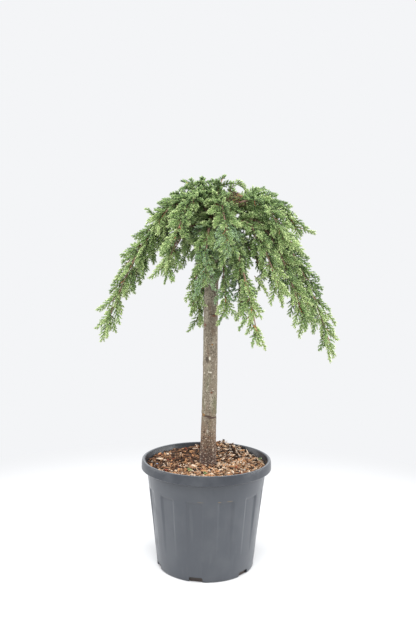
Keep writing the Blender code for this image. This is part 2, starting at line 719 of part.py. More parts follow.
def fuse(made, pieces, meshes):
    """Joins a stem and all that grows on it into one solid, without what would touch it badly."""
    stem = made.data
    while True:
        made.data = stem.copy()
        faults = tidied(joined(made, pieces, meshes))
        if not faults:
            return
        pieces.remove(min(pieces, key=lambda piece: (piece[1].translation - faults[0]).length))


def joined(made, pieces, meshes):
    """One Boolean union of a stem with the collection of its pieces, applied."""
    holder = new_collection("growing", bpy.context.scene.collection)
    for kind, matrix in pieces:
        grown = bpy.data.objects.new(kind, meshes[kind])
        grown.matrix_world = matrix
        holder.objects.link(grown)
    union = made.modifiers.new("join", "BOOLEAN")
    union.operation = "UNION"
    union.operand_type = "COLLECTION"
    union.collection = holder
    union.solver = "EXACT"
    bpy.context.view_layer.update()
    mesh = bpy.data.meshes.new_from_object(made.evaluated_get(bpy.context.evaluated_depsgraph_get()))
    made.modifiers.remove(union)
    made.data = mesh
    for grown in list(holder.objects):
        bpy.data.objects.remove(grown, do_unlink=True)
    bpy.data.collections.remove(holder)
    mesh.materials.clear()
    return mesh


def tidied(mesh):
    """Fills sealed hollows, drops loose scraps, and returns where an edge hasn't two faces."""
    shape = bmesh.new()
    shape.from_mesh(mesh)
    bmesh.ops.remove_doubles(shape, verts=shape.verts, dist=MERGE)
    left = set(shape.verts)
    shells = []
    while left:
        front = [left.pop()]
        shell = list(front)
        while front:
            for edge in front.pop().link_edges:
                for vertex in edge.verts:
                    if vertex in left:
                        left.remove(vertex)
                        front.append(vertex)
                        shell.append(vertex)
        shells.append(shell)
    shells.sort(key=len, reverse=True)
    for shell in shells[1:]:
        bmesh.ops.delete(shape, geom=shell, context="VERTS")
    faults = [(e.verts[0].co + e.verts[1].co) / 2 for e in shape.edges if len(e.link_faces) != 2]
    shape.to_mesh(mesh)
    shape.free()
    return faults


def bough(name, line, entry, clearance, parts, finish):
    """A limb from the trunk to its foliage, tapering, its foot cut to fit the trunk."""
    total = length_of(line)
    place, tangent = joint(line, entry)
    stop = entry - (GAP + SQUARE_END) / total
    shares = np.linspace(0.0, stop, max(3, round(stop * total / BOUGH_STEP) + 1))
    points = [*points_at(line, shares)[:-1], place - tangent * (GAP + SQUARE_END), place - tangent * GAP]
    radii = BOUGH_RADIUS + (BOUGH_TIP_RADIUS - BOUGH_RADIUS) * np.array([*shares, entry]) / entry
    made = tube(f"bough_{name}", points, radii, BOUGH_SIDES, parts)
    made.data.materials.append(finish)
    cut(made, clearance)
    return points, radii


def main():
    root = cleared_scene()
    parts = new_collection("shore_juniper", root)
    cutters = new_collection("cutters", root)
    pot(parts, cutters, finish_of("slate_plastic", *PLASTIC))
    mulch(parts, finish_of("bark_chips", *BARK_CHIPS))
    _, clearance = trunk(parts, cutters, finish_of("trunk_bark", *TRUNK_BARK))
    twig_bark = finish_of("twig_bark", *TWIG_BARK)
    greens = [finish_of(f"needles_{i}", colour, NEEDLE_ROUGHNESS) for i, colour in enumerate(GREENS)]

    limbs, stems = Lines(), Lines()
    heights = np.linspace(MULCH_SEAT, TRUNK_TOP, 12)
    axis = [trunk_axis(height) for height in heights]
    limbs.add("trunk", axis, [trunk_radius(height) for height in heights])
    masses = {}
    for name, arm in ARMS.items():
        line, crest_share = arm_line(arm)
        entry = arm.growing.entry or crest_share
        limbs.add(name, *bough(name, line, entry, clearance, parts, twig_bark))
        masses[name] = resampled(line, entry, 1.0, FALL_POINTS), joint(line, entry)[1]
    for name, cap in CAPS.items():
        masses[name] = cap_line(cap), np.array((0.0, 0.0, 1.0))
    for name, (stem, _) in masses.items():
        stems.add(name, stem, [BOUGH_TIP_RADIUS] * len(stem))
    meshes = {"spray": spray_mesh(), "twig": twig_mesh()}
    for index, (name, plant) in enumerate({**ARMS, **CAPS}.items()):
        finish = greens[index % len(greens)]
        foliage(name, *masses[name], plant.growing, stems, limbs, meshes, parts, finish)


main()
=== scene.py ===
# %% [markdown]
# A weeping juniper in a nursery pot.
#
# This lesson dresses a fixed model of the plant with its real surfaces. The frame gives every
# piece at its true size: the pot, the mulch, the trunk, the boughs and one plain solid for each
# mass of foliage. None of them is moved. A finer piece takes the place of each one, grown or
# turned from the same few sizes, so the two agree without any fitting.
# Lengths are metres, +Z is up, the front is -Y and the right-hand side is +X.

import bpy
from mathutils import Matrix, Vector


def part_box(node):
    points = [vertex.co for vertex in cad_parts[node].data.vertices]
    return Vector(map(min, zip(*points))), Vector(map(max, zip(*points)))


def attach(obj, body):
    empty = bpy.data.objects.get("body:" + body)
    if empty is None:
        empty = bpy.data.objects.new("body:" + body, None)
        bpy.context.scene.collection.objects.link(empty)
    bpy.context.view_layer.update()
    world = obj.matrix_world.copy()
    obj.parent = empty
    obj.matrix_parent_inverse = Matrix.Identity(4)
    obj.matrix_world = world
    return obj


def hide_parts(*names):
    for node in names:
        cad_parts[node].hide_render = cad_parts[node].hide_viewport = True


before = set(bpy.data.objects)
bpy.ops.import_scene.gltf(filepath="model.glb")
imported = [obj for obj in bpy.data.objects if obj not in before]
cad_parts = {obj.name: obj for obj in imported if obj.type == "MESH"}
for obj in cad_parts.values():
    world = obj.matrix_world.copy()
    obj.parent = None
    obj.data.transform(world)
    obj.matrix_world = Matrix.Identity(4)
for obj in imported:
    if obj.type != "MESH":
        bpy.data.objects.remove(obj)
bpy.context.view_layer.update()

# %% Blender's modules
import math
import random

import bmesh
import bpy
import numpy as np
from mathutils import Matrix, Vector, noise
from mathutils.bvhtree import BVHTree

SEED = 43
TAU = 2 * math.pi

# %% [markdown]
# The camera.
#
# A lens is a focal length and a sensor width. Measured in pixels of the picture's long side the
# focal length is one number, and the lens in millimetres follows from it. The camera stands a
# little above the middle of the plant, looks slightly down and is turned by less than a degree,
# as a hand-levelled tripod often is.

# %% Camera
PICTURE_LONG_SIDE = 626  # pixels
FOCAL_LENGTH = 651.6  # pixels
SENSOR_WIDTH = 36.0  # millimetres
CAMERA_PLACE = (-0.001, -1.7244, 0.7634)
CAMERA_PITCH = 3.067  # degrees below the horizon
CAMERA_ROLL = 0.75  # degrees

camera_data = bpy.data.cameras.new("camera")
camera_data.sensor_width = SENSOR_WIDTH
camera_data.lens = FOCAL_LENGTH / PICTURE_LONG_SIDE * SENSOR_WIDTH
camera = bpy.data.objects.new("camera", camera_data)
camera_turn = Matrix.Rotation(math.radians(90 - CAMERA_PITCH), 4, "X")
camera_turn = camera_turn @ Matrix.Rotation(math.radians(CAMERA_ROLL), 4, "Z")
camera.matrix_world = Matrix.Translation(CAMERA_PLACE) @ camera_turn
bpy.context.scene.collection.objects.link(camera)
bpy.context.scene.camera = camera
print("camera: lens", round(camera_data.lens, 2), "mm")

# %% [markdown]
# Small helpers for materials.
#
# A material is a little network. One helper makes it with its plain values set on the shader
# itself, and two more add a node and join it up, so that each finish below reads as a short list.

# %% Material helpers


def new_finish(name, colour, roughness, specular=0.5):
    material = bpy.data.materials.new(name)
    material.use_nodes = True
    shader = material.node_tree.nodes["Principled BSDF"]
    shader.inputs["Base Color"].default_value = (*colour, 1.0)
    shader.inputs["Roughness"].default_value = roughness
    shader.inputs["Specular IOR Level"].default_value = specular
    material.diffuse_color = (*colour, 1.0)
    return material


def add_node(tree, kind, inputs=None, **settings):
    """A node with its settings, whose inputs are given as values or as other nodes' outputs."""
    made = tree.nodes.new(kind)
    for name, value in settings.items():
        setattr(made, name, value)
    for name, value in (inputs or {}).items():
        if isinstance(value, bpy.types.NodeSocket):
            tree.links.new(value, made.inputs[name])
        else:
            made.inputs[name].default_value = value
    return made


def mixed(tree, mask, first, second, blend="MIX"):
    """A colour between two colours, by a mask; each is a value or another node's output."""
    made = tree.nodes.new("ShaderNodeMix")
    made.data_type = "RGBA"
    made.blend_type = blend
    for socket, value in ((made.inputs[0], mask), (made.inputs[6], first), (made.inputs[7], second)):
        if isinstance(value, bpy.types.NodeSocket):
            tree.links.new(value, socket)
        else:
            socket.default_value = value
    return made.outputs[2]


def shown(piece, slot, *replaced):
    """Puts a finished piece on the plant's one body and hides the frame's parts it replaces; slot is not used."""
    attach(piece, "root")
    if replaced:
        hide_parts(*replaced)
    print(piece.name, "has", len(piece.data.polygons), "faces")
    return piece


# %% [markdown]
# Effects that several finishes share.
#
# Bark, plastic and mulch all have blotches: patches of another shade with soft, uneven edges. All
# of them need small marks at a place, such as a scar or a fleck of soil. Each effect is a node
# group with named inputs, made once. A group gives out only a mask, and the material decides what
# the mask does.

# %% Node groups


def new_group(name, inputs):
    group = bpy.data.node_groups.new(name, "ShaderNodeTree")
    for label, kind, value in inputs:
        socket = group.interface.new_socket(label, in_out="INPUT", socket_type=kind)
        socket.default_value = value
    group.interface.new_socket("Mask", in_out="OUTPUT", socket_type="NodeSocketFloat")
    return group, group.nodes.new("NodeGroupInput").outputs, group.nodes.new("NodeGroupOutput").inputs


def blotches_group():
    """Soft uneven patches: 1 inside a patch and 0 outside it."""
    wanted = (
        ("Vector", "NodeSocketVector", (0.0, 0.0, 0.0)),
        ("Scale", "NodeSocketFloat", 40.0),
        ("Low", "NodeSocketFloat", 0.45),
        ("High", "NodeSocketFloat", 0.65),
    )
    group, given, out = new_group("blotches", wanted)
    cloud = add_node(group, "ShaderNodeTexNoise", {"Vector": given["Vector"], "Scale": given["Scale"]})
    cloud.inputs["Detail"].default_value = 4.0
    edges = {"Value": cloud.outputs["Fac"], "From Min": given["Low"], "From Max": given["High"]}
    fitted = add_node(group, "ShaderNodeMapRange", edges, interpolation_type="SMOOTHSTEP")
    group.links.new(fitted.outputs["Result"], out["Mask"])
    return group


def mark_group():
    """A small mark with a ragged edge round one place, stretched by Size along each axis."""
    wanted = (
        ("Vector", "NodeSocketVector", (0.0, 0.0, 0.0)),
        ("Place", "NodeSocketVector", (0.0, 0.0, 0.0)),
        ("Size", "NodeSocketVector", (0.01, 0.01, 0.01)),
        ("Ragged", "NodeSocketFloat", 0.5),
    )
    group, given, out = new_group("mark", wanted)
    away = add_node(group, "ShaderNodeVectorMath", operation="SUBTRACT")
    group.links.new(given["Vector"], away.inputs[0])
    group.links.new(given["Place"], away.inputs[1])
    scaled = add_node(group, "ShaderNodeVectorMath", operation="DIVIDE")
    group.links.new(away.outputs["Vector"], scaled.inputs[0])
    group.links.new(given["Size"], scaled.inputs[1])
    far = add_node(group, "ShaderNodeVectorMath", {0: scaled.outputs["Vector"]}, operation="LENGTH")
    rough = add_node(group, "ShaderNodeTexNoise", {"Vector": given["Vector"], "Scale": 260.0})
    wave = add_node(group, "ShaderNodeMath", {0: rough.outputs["Fac"], 1: 0.5}, operation="SUBTRACT")
    shift = add_node(group, "ShaderNodeMath", {0: wave.outputs[0], 1: given["Ragged"]}, operation="MULTIPLY")
    edge = add_node(group, "ShaderNodeMath", {0: far.outputs["Value"], 1: shift.outputs[0]}, operation="ADD")
    fitted = add_node(group, "ShaderNodeMapRange", {"Value": edge.outputs[0]}, interpolation_type="SMOOTHSTEP")
    fitted.inputs["From Min"].default_value = 1.15
    fitted.inputs["From Max"].default_value = 0.75
    group.links.new(fitted.outputs["Result"], out["Mask"])
    return group


BLOTCHES = blotches_group()
MARK = mark_group()


def blotches(tree, vector, scale, low, high):
    made = tree.nodes.new("ShaderNodeGroup")
    made.node_tree = BLOTCHES
    tree.links.new(vector, made.inputs["Vector"])
    for name, value in (("Scale", scale), ("Low", low), ("High", high)):
        made.inputs[name].default_value = value
    return made.outputs["Mask"]


def mark(tree, vector, place, size, ragged=0.5):
    made = tree.nodes.new("ShaderNodeGroup")
    made.node_tree = MARK
    tree.links.new(vector, made.inputs["Vector"])
    made.inputs["Place"].default_value = place
    made.inputs["Size"].default_value = size
    made.inputs["Ragged"].default_value = ragged
    return made.outputs["Mask"]


print("node groups:", BLOTCHES.name, "and", MARK.name)

# %% [markdown]
# Floor and light.
#
# A plant nursery photographs its stock in a bright white booth. White light from everywhere is
# the world's own colour, and three large soft lamps shape it: one above and in front, and a
# weaker one on each side. The floor is one wide disc. Far from the plant it glows as the
# background does, so that no line shows where it ends.

# %% Floor
BOOTH_WHITE = (0.905, 0.913, 0.930)
FLOOR_RADIUS = 9.0
FLOOR_WHITE = (0.68, 0.685, 0.69)
GLOW_FROM, GLOW_TO = 0.35, 1.3  # distance from the pot over which the floor turns into background

floor_shape = bmesh.new()
bmesh.ops.create_circle(floor_shape, cap_ends=True, segments=96, radius=FLOOR_RADIUS)
floor_mesh = bpy.data.meshes.new("floor")
floor_shape.to_mesh(floor_mesh)
floor_shape.free()
floor = bpy.data.objects.new("floor", floor_mesh)
bpy.context.scene.collection.objects.link(floor)
floor.location.z = -0.0005
floor_finish = new_finish("floor_white", FLOOR_WHITE, 0.6, 0.2)
tree = floor_finish.node_tree
seat = add_node(tree, "ShaderNodeTexCoord").outputs["Object"]
reach = add_node(tree, "ShaderNodeVectorMath", {0: seat}, operation="LENGTH")
far = add_node(tree, "ShaderNodeMapRange", {"Value": reach.outputs["Value"]}, interpolation_type="SMOOTHSTEP")
far.inputs["From Min"].default_value = GLOW_FROM
far.inputs["From Max"].default_value = GLOW_TO
glow = add_node(tree, "ShaderNodeEmission", {"Color": (*BOOTH_WHITE, 1.0)})
both = add_node(tree, "ShaderNodeMixShader", {0: far.outputs["Result"]})
tree.links.new(tree.nodes["Principled BSDF"].outputs[0], both.inputs[1])
tree.links.new(glow.outputs[0], both.inputs[2])
tree.links.new(both.outputs[0], tree.nodes["Material Output"].inputs["Surface"])
floor.data.materials.append(floor_finish)

# %% Light
WORLD_STRENGTH = 1.0
LAMPS = {  # place, size, watts
    "lamp_above": ((-0.1, -1.3, 2.4), 1.3, 56.0),
    "lamp_front": ((0.4, -2.6, 1.5), 1.0, 12.0),
    "lamp_left": ((-2.2, 0.2, 1.2), 1.8, 46.0),
    "lamp_right": ((2.2, 0.2, 1.2), 1.8, 62.0),
}
PLANT_MIDDLE = Vector((0.0, 0.0, 0.62))

world = bpy.data.worlds.new("booth")
world.use_nodes = True
world.node_tree.nodes["Background"].inputs["Color"].default_value = (*BOOTH_WHITE, 1.0)
world.node_tree.nodes["Background"].inputs["Strength"].default_value = WORLD_STRENGTH
bpy.context.scene.world = world
bpy.context.scene.view_settings.view_transform = "Standard"
for name, (place, size, watts) in LAMPS.items():
    lamp_data = bpy.data.lights.new(name, "AREA")
    lamp_data.size = size
    lamp_data.energy = watts
    lamp = bpy.data.objects.new(name, lamp_data)
    lamp.location = place
    lamp.rotation_euler = (PLANT_MIDDLE - Vector(place)).to_track_quat("-Z", "Y").to_euler()
    bpy.context.scene.collection.objects.link(lamp)
print("booth: world and", len(LAMPS), "lamps")

# %% [markdown]
# From a bmesh to an object.
#
# Every piece is shaped as a bmesh, Blender's editable mesh. Spin turns an outline round an axis,
# which suits the pot, the mulch, the trunk and each bough. The outline is a chain of corners, and
# where it starts and ends on the axis the turned skin is closed.

# %% Bmesh helpers


def outline(shape, points):
    """A chain of edges through (radius, height) points in the XZ plane."""
    corners = [shape.verts.new((radius, 0.0, height)) for radius, height in points]
    return [shape.edges.new(pair) for pair in zip(corners[:-1], corners[1:])]


def turned(shape, steps):
    """Spins everything in the bmesh once round Z and closes its poles."""
    around = {"cent": (0, 0, 0), "axis": (0, 0, 1), "angle": TAU, "steps": steps, "use_merge": True}
    bmesh.ops.spin(shape, geom=shape.verts[:] + shape.edges[:], **around)
    bmesh.ops.remove_doubles(shape, verts=shape.verts, dist=1e-6)
    loose = [edge for edge in shape.edges if not edge.link_faces]
    bmesh.ops.delete(shape, geom=loose, context="EDGES")
    bmesh.ops.recalc_face_normals(shape, faces=shape.faces)


def finished(shape, name, *finishes, sharp=None):
    """Turns the bmesh into an object with its finishes, shaded smooth up to a sharp angle."""
    mesh = bpy.data.meshes.new(name)
    shape.to_mesh(mesh)
    shape.free()
    for finish in finishes:
        mesh.materials.append(finish)
    if sharp is not None:
        mesh.shade_smooth()
        mesh.set_sharp_from_angle(angle=math.radians(sharp))
    made = bpy.data.objects.new(name, mesh)
    bpy.context.scene.collection.objects.link(made)
    return made


# %% [markdown]
# The pot.
#
# A nursery pot is moulded in one go from recycled plastic: a tapering wall, a broad band round
# the rim, shallow flutes that stiffen the wall, and notches in the foot that let water out. It is
# made as the mould is: one outline is turned, its hard rings are bevelled, the flutes are pressed
# in by moving the wall's vertices, and six blocks cut the notches with a Boolean.

# %% Pot outline
POT_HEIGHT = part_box("pot")[1].z
POT_BASE_RADIUS = 0.1287
POT_BODY_TOP = 0.2535
POT_BODY_TOP_RADIUS = 0.158
POT_WALL = 0.0055
POT_FLOOR = 0.014
RIM_BAND_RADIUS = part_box("pot")[1].x
RIM_CREST_RADIUS = 0.168
RIM_BAND_BOTTOM = 0.2585
RIM_LIP = 0.0045
LEDGE_OUT = 0.007
FOOT_CHAMFER = 0.002
POT_STEPS = 360
WALL_CUTS = 60
WALL_LENGTH = math.hypot(POT_BODY_TOP - FOOT_CHAMFER, POT_BODY_TOP_RADIUS - POT_BASE_RADIUS)


def wall_radius(height):
    """The outer radius of the pot's tapering body."""
    return POT_BASE_RADIUS + (POT_BODY_TOP_RADIUS - POT_BASE_RADIUS) * height / POT_BODY_TOP


def inner_radius(height):
    """The inner radius of the pot at a height above its floor."""
    ledge = POT_BODY_TOP + 0.0025
    heights = (POT_FLOOR, ledge, ledge + 0.008, POT_HEIGHT - 0.002)
    throat = RIM_CREST_RADIUS - 2 * RIM_LIP
    radii = (wall_radius(POT_FLOOR) - POT_WALL, wall_radius(ledge) - POT_WALL, throat, RIM_CREST_RADIUS - RIM_LIP)
    return float(np.interp(height, heights, radii))


POT_OUTSIDE = (
    (RIM_CREST_RADIUS, POT_HEIGHT),
    (RIM_CREST_RADIUS + 0.003, POT_HEIGHT - 0.0015),
    (RIM_BAND_RADIUS - 0.0005, POT_HEIGHT - 0.008),
    (RIM_BAND_RADIUS, RIM_BAND_BOTTOM + 0.002),
    (RIM_BAND_RADIUS - 0.002, RIM_BAND_BOTTOM),
    (POT_BODY_TOP_RADIUS + LEDGE_OUT, RIM_BAND_BOTTOM - 0.002),
    (POT_BODY_TOP_RADIUS, POT_BODY_TOP),
    (POT_BASE_RADIUS, FOOT_CHAMFER),
    (POT_BASE_RADIUS - FOOT_CHAMFER, 0.0),
)
POT_INSIDE = [(inner_radius(height), height) for height in (POT_HEIGHT - 0.002, 0.264, 0.256, POT_FLOOR)]
print("pot:", len(POT_OUTSIDE) + len(POT_INSIDE), "outline points, rim", round(2 * RIM_BAND_RADIUS, 3), "m across")

# %% Pot flutes
FLUTES = 12
FLUTE_OFFSET = 19.5  # azimuth of one flute's middle, in degrees
FLUTE_HALF_WIDTH = 8.0  # degrees
FLUTE_EDGE = 1.0  # degrees over which a flute's side slopes
FLUTE_DEPTH = 0.0040
FLUTE_TOP = 0.213
FLUTE_TOP_EDGE = 0.004
FLUTE_BOTTOM = 0.056


def smooth_step(value, low, high):
    share = min(max((value - low) / (high - low), 0.0), 1.0)
    return share * share * (3 - 2 * share)


def flute_depth(azimuth, height):
    """How deep the flutes are pressed in at a place on the wall."""
    spacing = 360 / FLUTES
    beside = abs((azimuth - FLUTE_OFFSET + spacing / 2) % spacing - spacing / 2)
    across = 1 - smooth_step(beside, FLUTE_HALF_WIDTH - FLUTE_EDGE, FLUTE_HALF_WIDTH)
    top = 1 - smooth_step(height, FLUTE_TOP - FLUTE_TOP_EDGE, FLUTE_TOP)
    fade = min(max((height - FLUTE_BOTTOM) / (FLUTE_TOP - FLUTE_BOTTOM), 0.0), 1.0)
    return FLUTE_DEPTH * across * top * fade**0.7


# %% Pot shape
RING_BEVEL = 0.0011
NOTCH_WIDTH = 0.035
NOTCH_HEIGHT = 0.0125
NOTCH_DEPTH = 0.006
NOTCH_CORNER = 0.004


def notch_cutters():
    """Six blocks with rounded edges, one under every other flute, as one mesh."""
    shape = bmesh.new()
    for index in range(0, FLUTES, 2):
        azimuth = math.radians(FLUTE_OFFSET + 360 * index / FLUTES)
        place = Matrix.Rotation(azimuth, 4, "Z") @ Matrix.Translation((POT_BASE_RADIUS, 0, 0))
        size = Matrix.Diagonal((2 * NOTCH_DEPTH, NOTCH_WIDTH, 2 * NOTCH_HEIGHT, 1.0))
        corners = bmesh.ops.create_cube(shape, size=1.0, matrix=place @ size)["verts"]
        edges = {edge for corner in corners for edge in corner.link_edges}
        inward = place.to_3x3() @ Vector((1, 0, 0))
        deep = [e for e in edges if abs((e.verts[0].co - e.verts[1].co).normalized().dot(inward)) > 0.99]
        rounding = {"offset": NOTCH_CORNER, "segments": 3, "profile": 0.5, "affect": "EDGES", "material": -1}
        bmesh.ops.bevel(shape, geom=deep, **rounding)
    return finished(shape, "notch_cutters")


def pot_shell(finish):
    shape = bmesh.new()
    chain = outline(shape, ((0.0, POT_FLOOR), *reversed(POT_INSIDE), *POT_OUTSIDE, (0.0, 0.0)))
    wall = [edge for edge in chain if abs(edge.calc_length() - WALL_LENGTH) < 1e-5]
    bmesh.ops.subdivide_edges(shape, edges=wall, cuts=WALL_CUTS)
    turned(shape, POT_STEPS)
    rings = ((RIM_BAND_RADIUS - 0.002, RIM_BAND_BOTTOM), (RIM_CREST_RADIUS, POT_HEIGHT))
    hard = [
        edge
        for edge in shape.edges
        for radius, height in rings
        if all(abs(v.co.xy.length - radius) + abs(v.co.z - height) < 1e-5 for v in edge.verts)
    ]
    rounding = {"offset": RING_BEVEL, "segments": 2, "profile": 0.5, "affect": "EDGES", "material": -1}
    bmesh.ops.bevel(shape, geom=hard, **rounding)
    for vertex in shape.verts:
        radius = vertex.co.xy.length
        if abs(radius - wall_radius(vertex.co.z)) < POT_WALL / 10 and vertex.co.z < POT_BODY_TOP:
            azimuth = math.degrees(math.atan2(vertex.co.y, vertex.co.x))
            vertex.co.xy *= 1 - flute_depth(azimuth, vertex.co.z) / radius
    made = finished(shape, "pot_shell", finish)
    cutters = notch_cutters()
    cut = made.modifiers.new("notches", "BOOLEAN")
    cut.object = cutters
    cut.solver = "EXACT"
    bpy.context.view_layer.update()
    mesh = bpy.data.meshes.new_from_object(made.evaluated_get(bpy.context.evaluated_depsgraph_get()))
    made.modifiers.clear()
    made.data = mesh
    bpy.data.objects.remove(cutters, do_unlink=True)
    mesh.shade_smooth()
    mesh.set_sharp_from_angle(angle=math.radians(44))
    return made


# %% Pot finish
SLATE = (0.054, 0.060, 0.071)
SLATE_DUSTY = (0.092, 0.099, 0.108)
SLATE_RIM = (0.031, 0.035, 0.043)
# Painted highlight: the top of the lip is coloured lighter.
LIP_PAINTED_HIGHLIGHT = (0.190, 0.200, 0.215)
SOIL_STAIN = (0.135, 0.105, 0.062)
# Painted shade: the inner wall above the mulch is coloured nearly black.
INSIDE_PAINTED_SHADE = (0.012, 0.014, 0.018)
# Painted shade: the faces of the notches in the foot are coloured dark.
NOTCH_PAINTED_SHADE = (0.024, 0.014, 0.010)
# Where a little soil has dried on the edge over the flutes, and how large it is.
STAINS = (
    ((0.034, -0.150, 0.2125), (0.004, 0.007, 0.0014)),
    ((0.060, -0.142, 0.2125), (0.009, 0.006, 0.0010)),
    ((-0.013, -0.152, 0.2125), (0.010, 0.006, 0.0006)),
)


def ramp(tree, value, zero, one):
    """A value fitted so that it is 0 at one place and 1 at another."""
    fitted = add_node(tree, "ShaderNodeMapRange", {"Value": value, "From Min": zero, "From Max": one})
    return fitted.outputs["Result"]


def product(tree, first, second):
    return add_node(tree, "ShaderNodeMath", {0: first, 1: second}, operation="MULTIPLY").outputs[0]


def slate_plastic():
    """Recycled plastic: faintly mottled, dusty in streaks, a painted highlight on the lip, painted shade inside and
    in the notches.
    """
    finish = new_finish("slate_plastic", SLATE, 0.32, 0.5)
    tree = finish.node_tree
    shader = tree.nodes["Principled BSDF"]
    where = add_node(tree, "ShaderNodeTexCoord").outputs["Object"]
    tall = add_node(tree, "ShaderNodeMapping", {"Vector": where, "Scale": (1.0, 1.0, 0.12)}).outputs["Vector"]
    streaks = blotches(tree, tall, 75.0, 0.50, 0.78)
    patches = blotches(tree, where, 16.0, 0.42, 0.75)
    dust = add_node(tree, "ShaderNodeMath", {0: streaks, 1: patches}, operation="MAXIMUM").outputs[0]
    height = add_node(tree, "ShaderNodeSeparateXYZ", {0: where}).outputs["Z"]
    flat = add_node(tree, "ShaderNodeVectorMath", {0: where, 1: (1.0, 1.0, 0.0)}, operation="MULTIPLY").outputs[0]
    out = add_node(tree, "ShaderNodeVectorMath", {0: flat}, operation="LENGTH").outputs["Value"]
    on_rim = ramp(tree, height, RIM_BAND_BOTTOM, RIM_BAND_BOTTOM + 0.002)
    # Where the painted highlight lies: the top of the lip.
    lip_highlight_mask = ramp(tree, height, POT_HEIGHT - 0.0011, POT_HEIGHT - 0.0004)
    # Where the painted shade inside lies: the inner wall above the rim band's bottom.
    inside_shade_mask = product(tree, ramp(tree, out, RIM_CREST_RADIUS - RIM_LIP + 0.001, RIM_CREST_RADIUS - RIM_LIP), on_rim)
    # Where the painted shade in the notches lies: low on the foot and inward of the wall.
    notch_shade_mask = product(
        tree,
        ramp(tree, out, POT_BASE_RADIUS - NOTCH_DEPTH + 0.003, POT_BASE_RADIUS - NOTCH_DEPTH + 0.002),
        ramp(tree, height, NOTCH_HEIGHT + 0.001, NOTCH_HEIGHT + 0.0005),
    )
    body = mixed(tree, on_rim, (*SLATE, 1), (*SLATE_RIM, 1))
    colour = mixed(tree, product(tree, dust, 0.42), body, (*SLATE_DUSTY, 1))
    for place, size in STAINS:
        colour = mixed(tree, mark(tree, where, place, size, 1.6), colour, (*SOIL_STAIN, 1))
    # The painted highlight on the lip.
    colour = mixed(tree, product(tree, lip_highlight_mask, 0.75), colour, (*LIP_PAINTED_HIGHLIGHT, 1))
    # The painted shade on the inner wall.
    colour = mixed(tree, inside_shade_mask, colour, (*INSIDE_PAINTED_SHADE, 1))
    # The painted shade in the notches.
    colour = mixed(tree, notch_shade_mask, colour, (*NOTCH_PAINTED_SHADE, 1))
    tree.links.new(colour, shader.inputs["Base Color"])
    shine = add_node(tree, "ShaderNodeMapRange", {"Value": dust, "To Min": 0.28, "To Max": 0.50})
    tree.links.new(shine.outputs["Result"], shader.inputs["Roughness"])
    grain = add_node(tree, "ShaderNodeTexNoise", {"Vector": where, "Scale": 900.0, "Detail": 2.0})
    bump = add_node(tree, "ShaderNodeBump", {"Height": grain.outputs["Fac"], "Strength": 0.18, "Distance": 0.0004})
    tree.links.new(bump.outputs["Normal"], shader.inputs["Normal"])
    return finish


shown(pot_shell(slate_plastic()), "slate_plastic", "pot")

# %% [markdown]
# The mulch.
#
# The pot is topped up with bark mulch: thousands of small flakes, heaped against the rim at the
# right rear. Under them lies a dark bed of crumbs, which is a turned disc whose top follows the
# heap. The flakes are a few angular shapes, copied with many sizes and turns and joined into one
# mesh. A flake takes one of a few plain colours, as real ones do: fresh ones are tawny, old ones
# are grey, and wet ones are nearly black.

# %% Heap
GAP = 0.0003
MULCH_SEAT = 0.268
MULCH_SEAT_RADIUS = 0.027
BED_STEPS = 160
BED_RINGS = 40
BED_DEPTH = 0.018
TRUNK_FOOT_X = 0.0036
BED_SUNK = 0.0035  # how far the flakes stand above the bed
MULCH_SLOPE = 0.11  # how far out from the seat its heaps and hollows are full
# Its heaps and hollows: height, azimuth of the middle and spread in degrees.
MULCH_HEAPS = (
    (0.0195, 72, 28),
    (0.0020, 138, 34),
    (-0.003, 16, 22),
)
# Its lumps: the height of two waves, and the radians that each turns through in a metre of X and Y.
MULCH_LUMPS = (0.0016, 71, 63), (0.0009, 97, 139)
LUMP_SHIFT = 1.3


def mulch_height(x, y):
    """The heaped top of the mulch: highest at the right rear, lowest at the right."""
    out = max(0.0, (math.hypot(x, y) - MULCH_SEAT_RADIUS) / MULCH_SLOPE)
    azimuth = math.degrees(math.atan2(y, x))
    rise = 0.0
    for height, middle, spread in MULCH_HEAPS:
        rise += height * math.exp(-(((azimuth - middle) / spread) ** 2))
    (coarse, coarse_x, coarse_y), (fine, fine_x, fine_y) = MULCH_LUMPS
    lumps = coarse * math.sin(coarse_x * x + LUMP_SHIFT) * math.cos(coarse_y * y)
    lumps += fine * math.sin(fine_x * x + fine_y * y)
    return MULCH_SEAT + min(out, 1.0) * rise + lumps * min(1.0, 3 * out)


def mulch_bed(finish):
    shape = bmesh.new()
    low = MULCH_SEAT - BED_DEPTH
    edge, low_edge = inner_radius(MULCH_SEAT) - GAP, inner_radius(low) - GAP
    chain = outline(shape, ((0.0, MULCH_SEAT), (edge, MULCH_SEAT), (low_edge, low), (0.0, low)))
    bmesh.ops.subdivide_edges(shape, edges=chain[:1], cuts=BED_RINGS)
    turned(shape, BED_STEPS)
    for vertex in shape.verts:
        if vertex.co.z > MULCH_SEAT - GAP:
            crumbs = noise.noise(vertex.co * 260) * 0.0016
            vertex.co.z = mulch_height(vertex.co.x, vertex.co.y) - BED_SUNK + crumbs
    return finished(shape, "mulch_bed", finish, sharp=60)


def damp_crumbs():
    """The bed: dark crumbs with a few tawny ones, rough all over."""
    finish = new_finish("damp_crumbs", (0.05, 0.028, 0.018), 0.95, 0.2)
    tree = finish.node_tree
    where = add_node(tree, "ShaderNodeTexCoord").outputs["Object"]
    tawny = blotches(tree, where, 210.0, 0.50, 0.60)
    colour = mixed(tree, tawny, (0.035, 0.020, 0.014, 1), (0.17, 0.085, 0.045, 1))
    tree.links.new(colour, tree.nodes["Principled BSDF"].inputs["Base Color"])
    crumbs = add_node(tree, "ShaderNodeTexNoise", {"Vector": where, "Scale": 420.0, "Detail": 4.0})
    bump = add_node(tree, "ShaderNodeBump", {"Height": crumbs.outputs["Fac"], "Strength": 0.9, "Distance": 0.002})
    tree.links.new(bump.outputs["Normal"], tree.nodes["Principled BSDF"].inputs["Normal"])
    return finish


shown(mulch_bed(damp_crumbs()), "bark_chips", "bark_mulch")

# %% Joined meshes from arrays


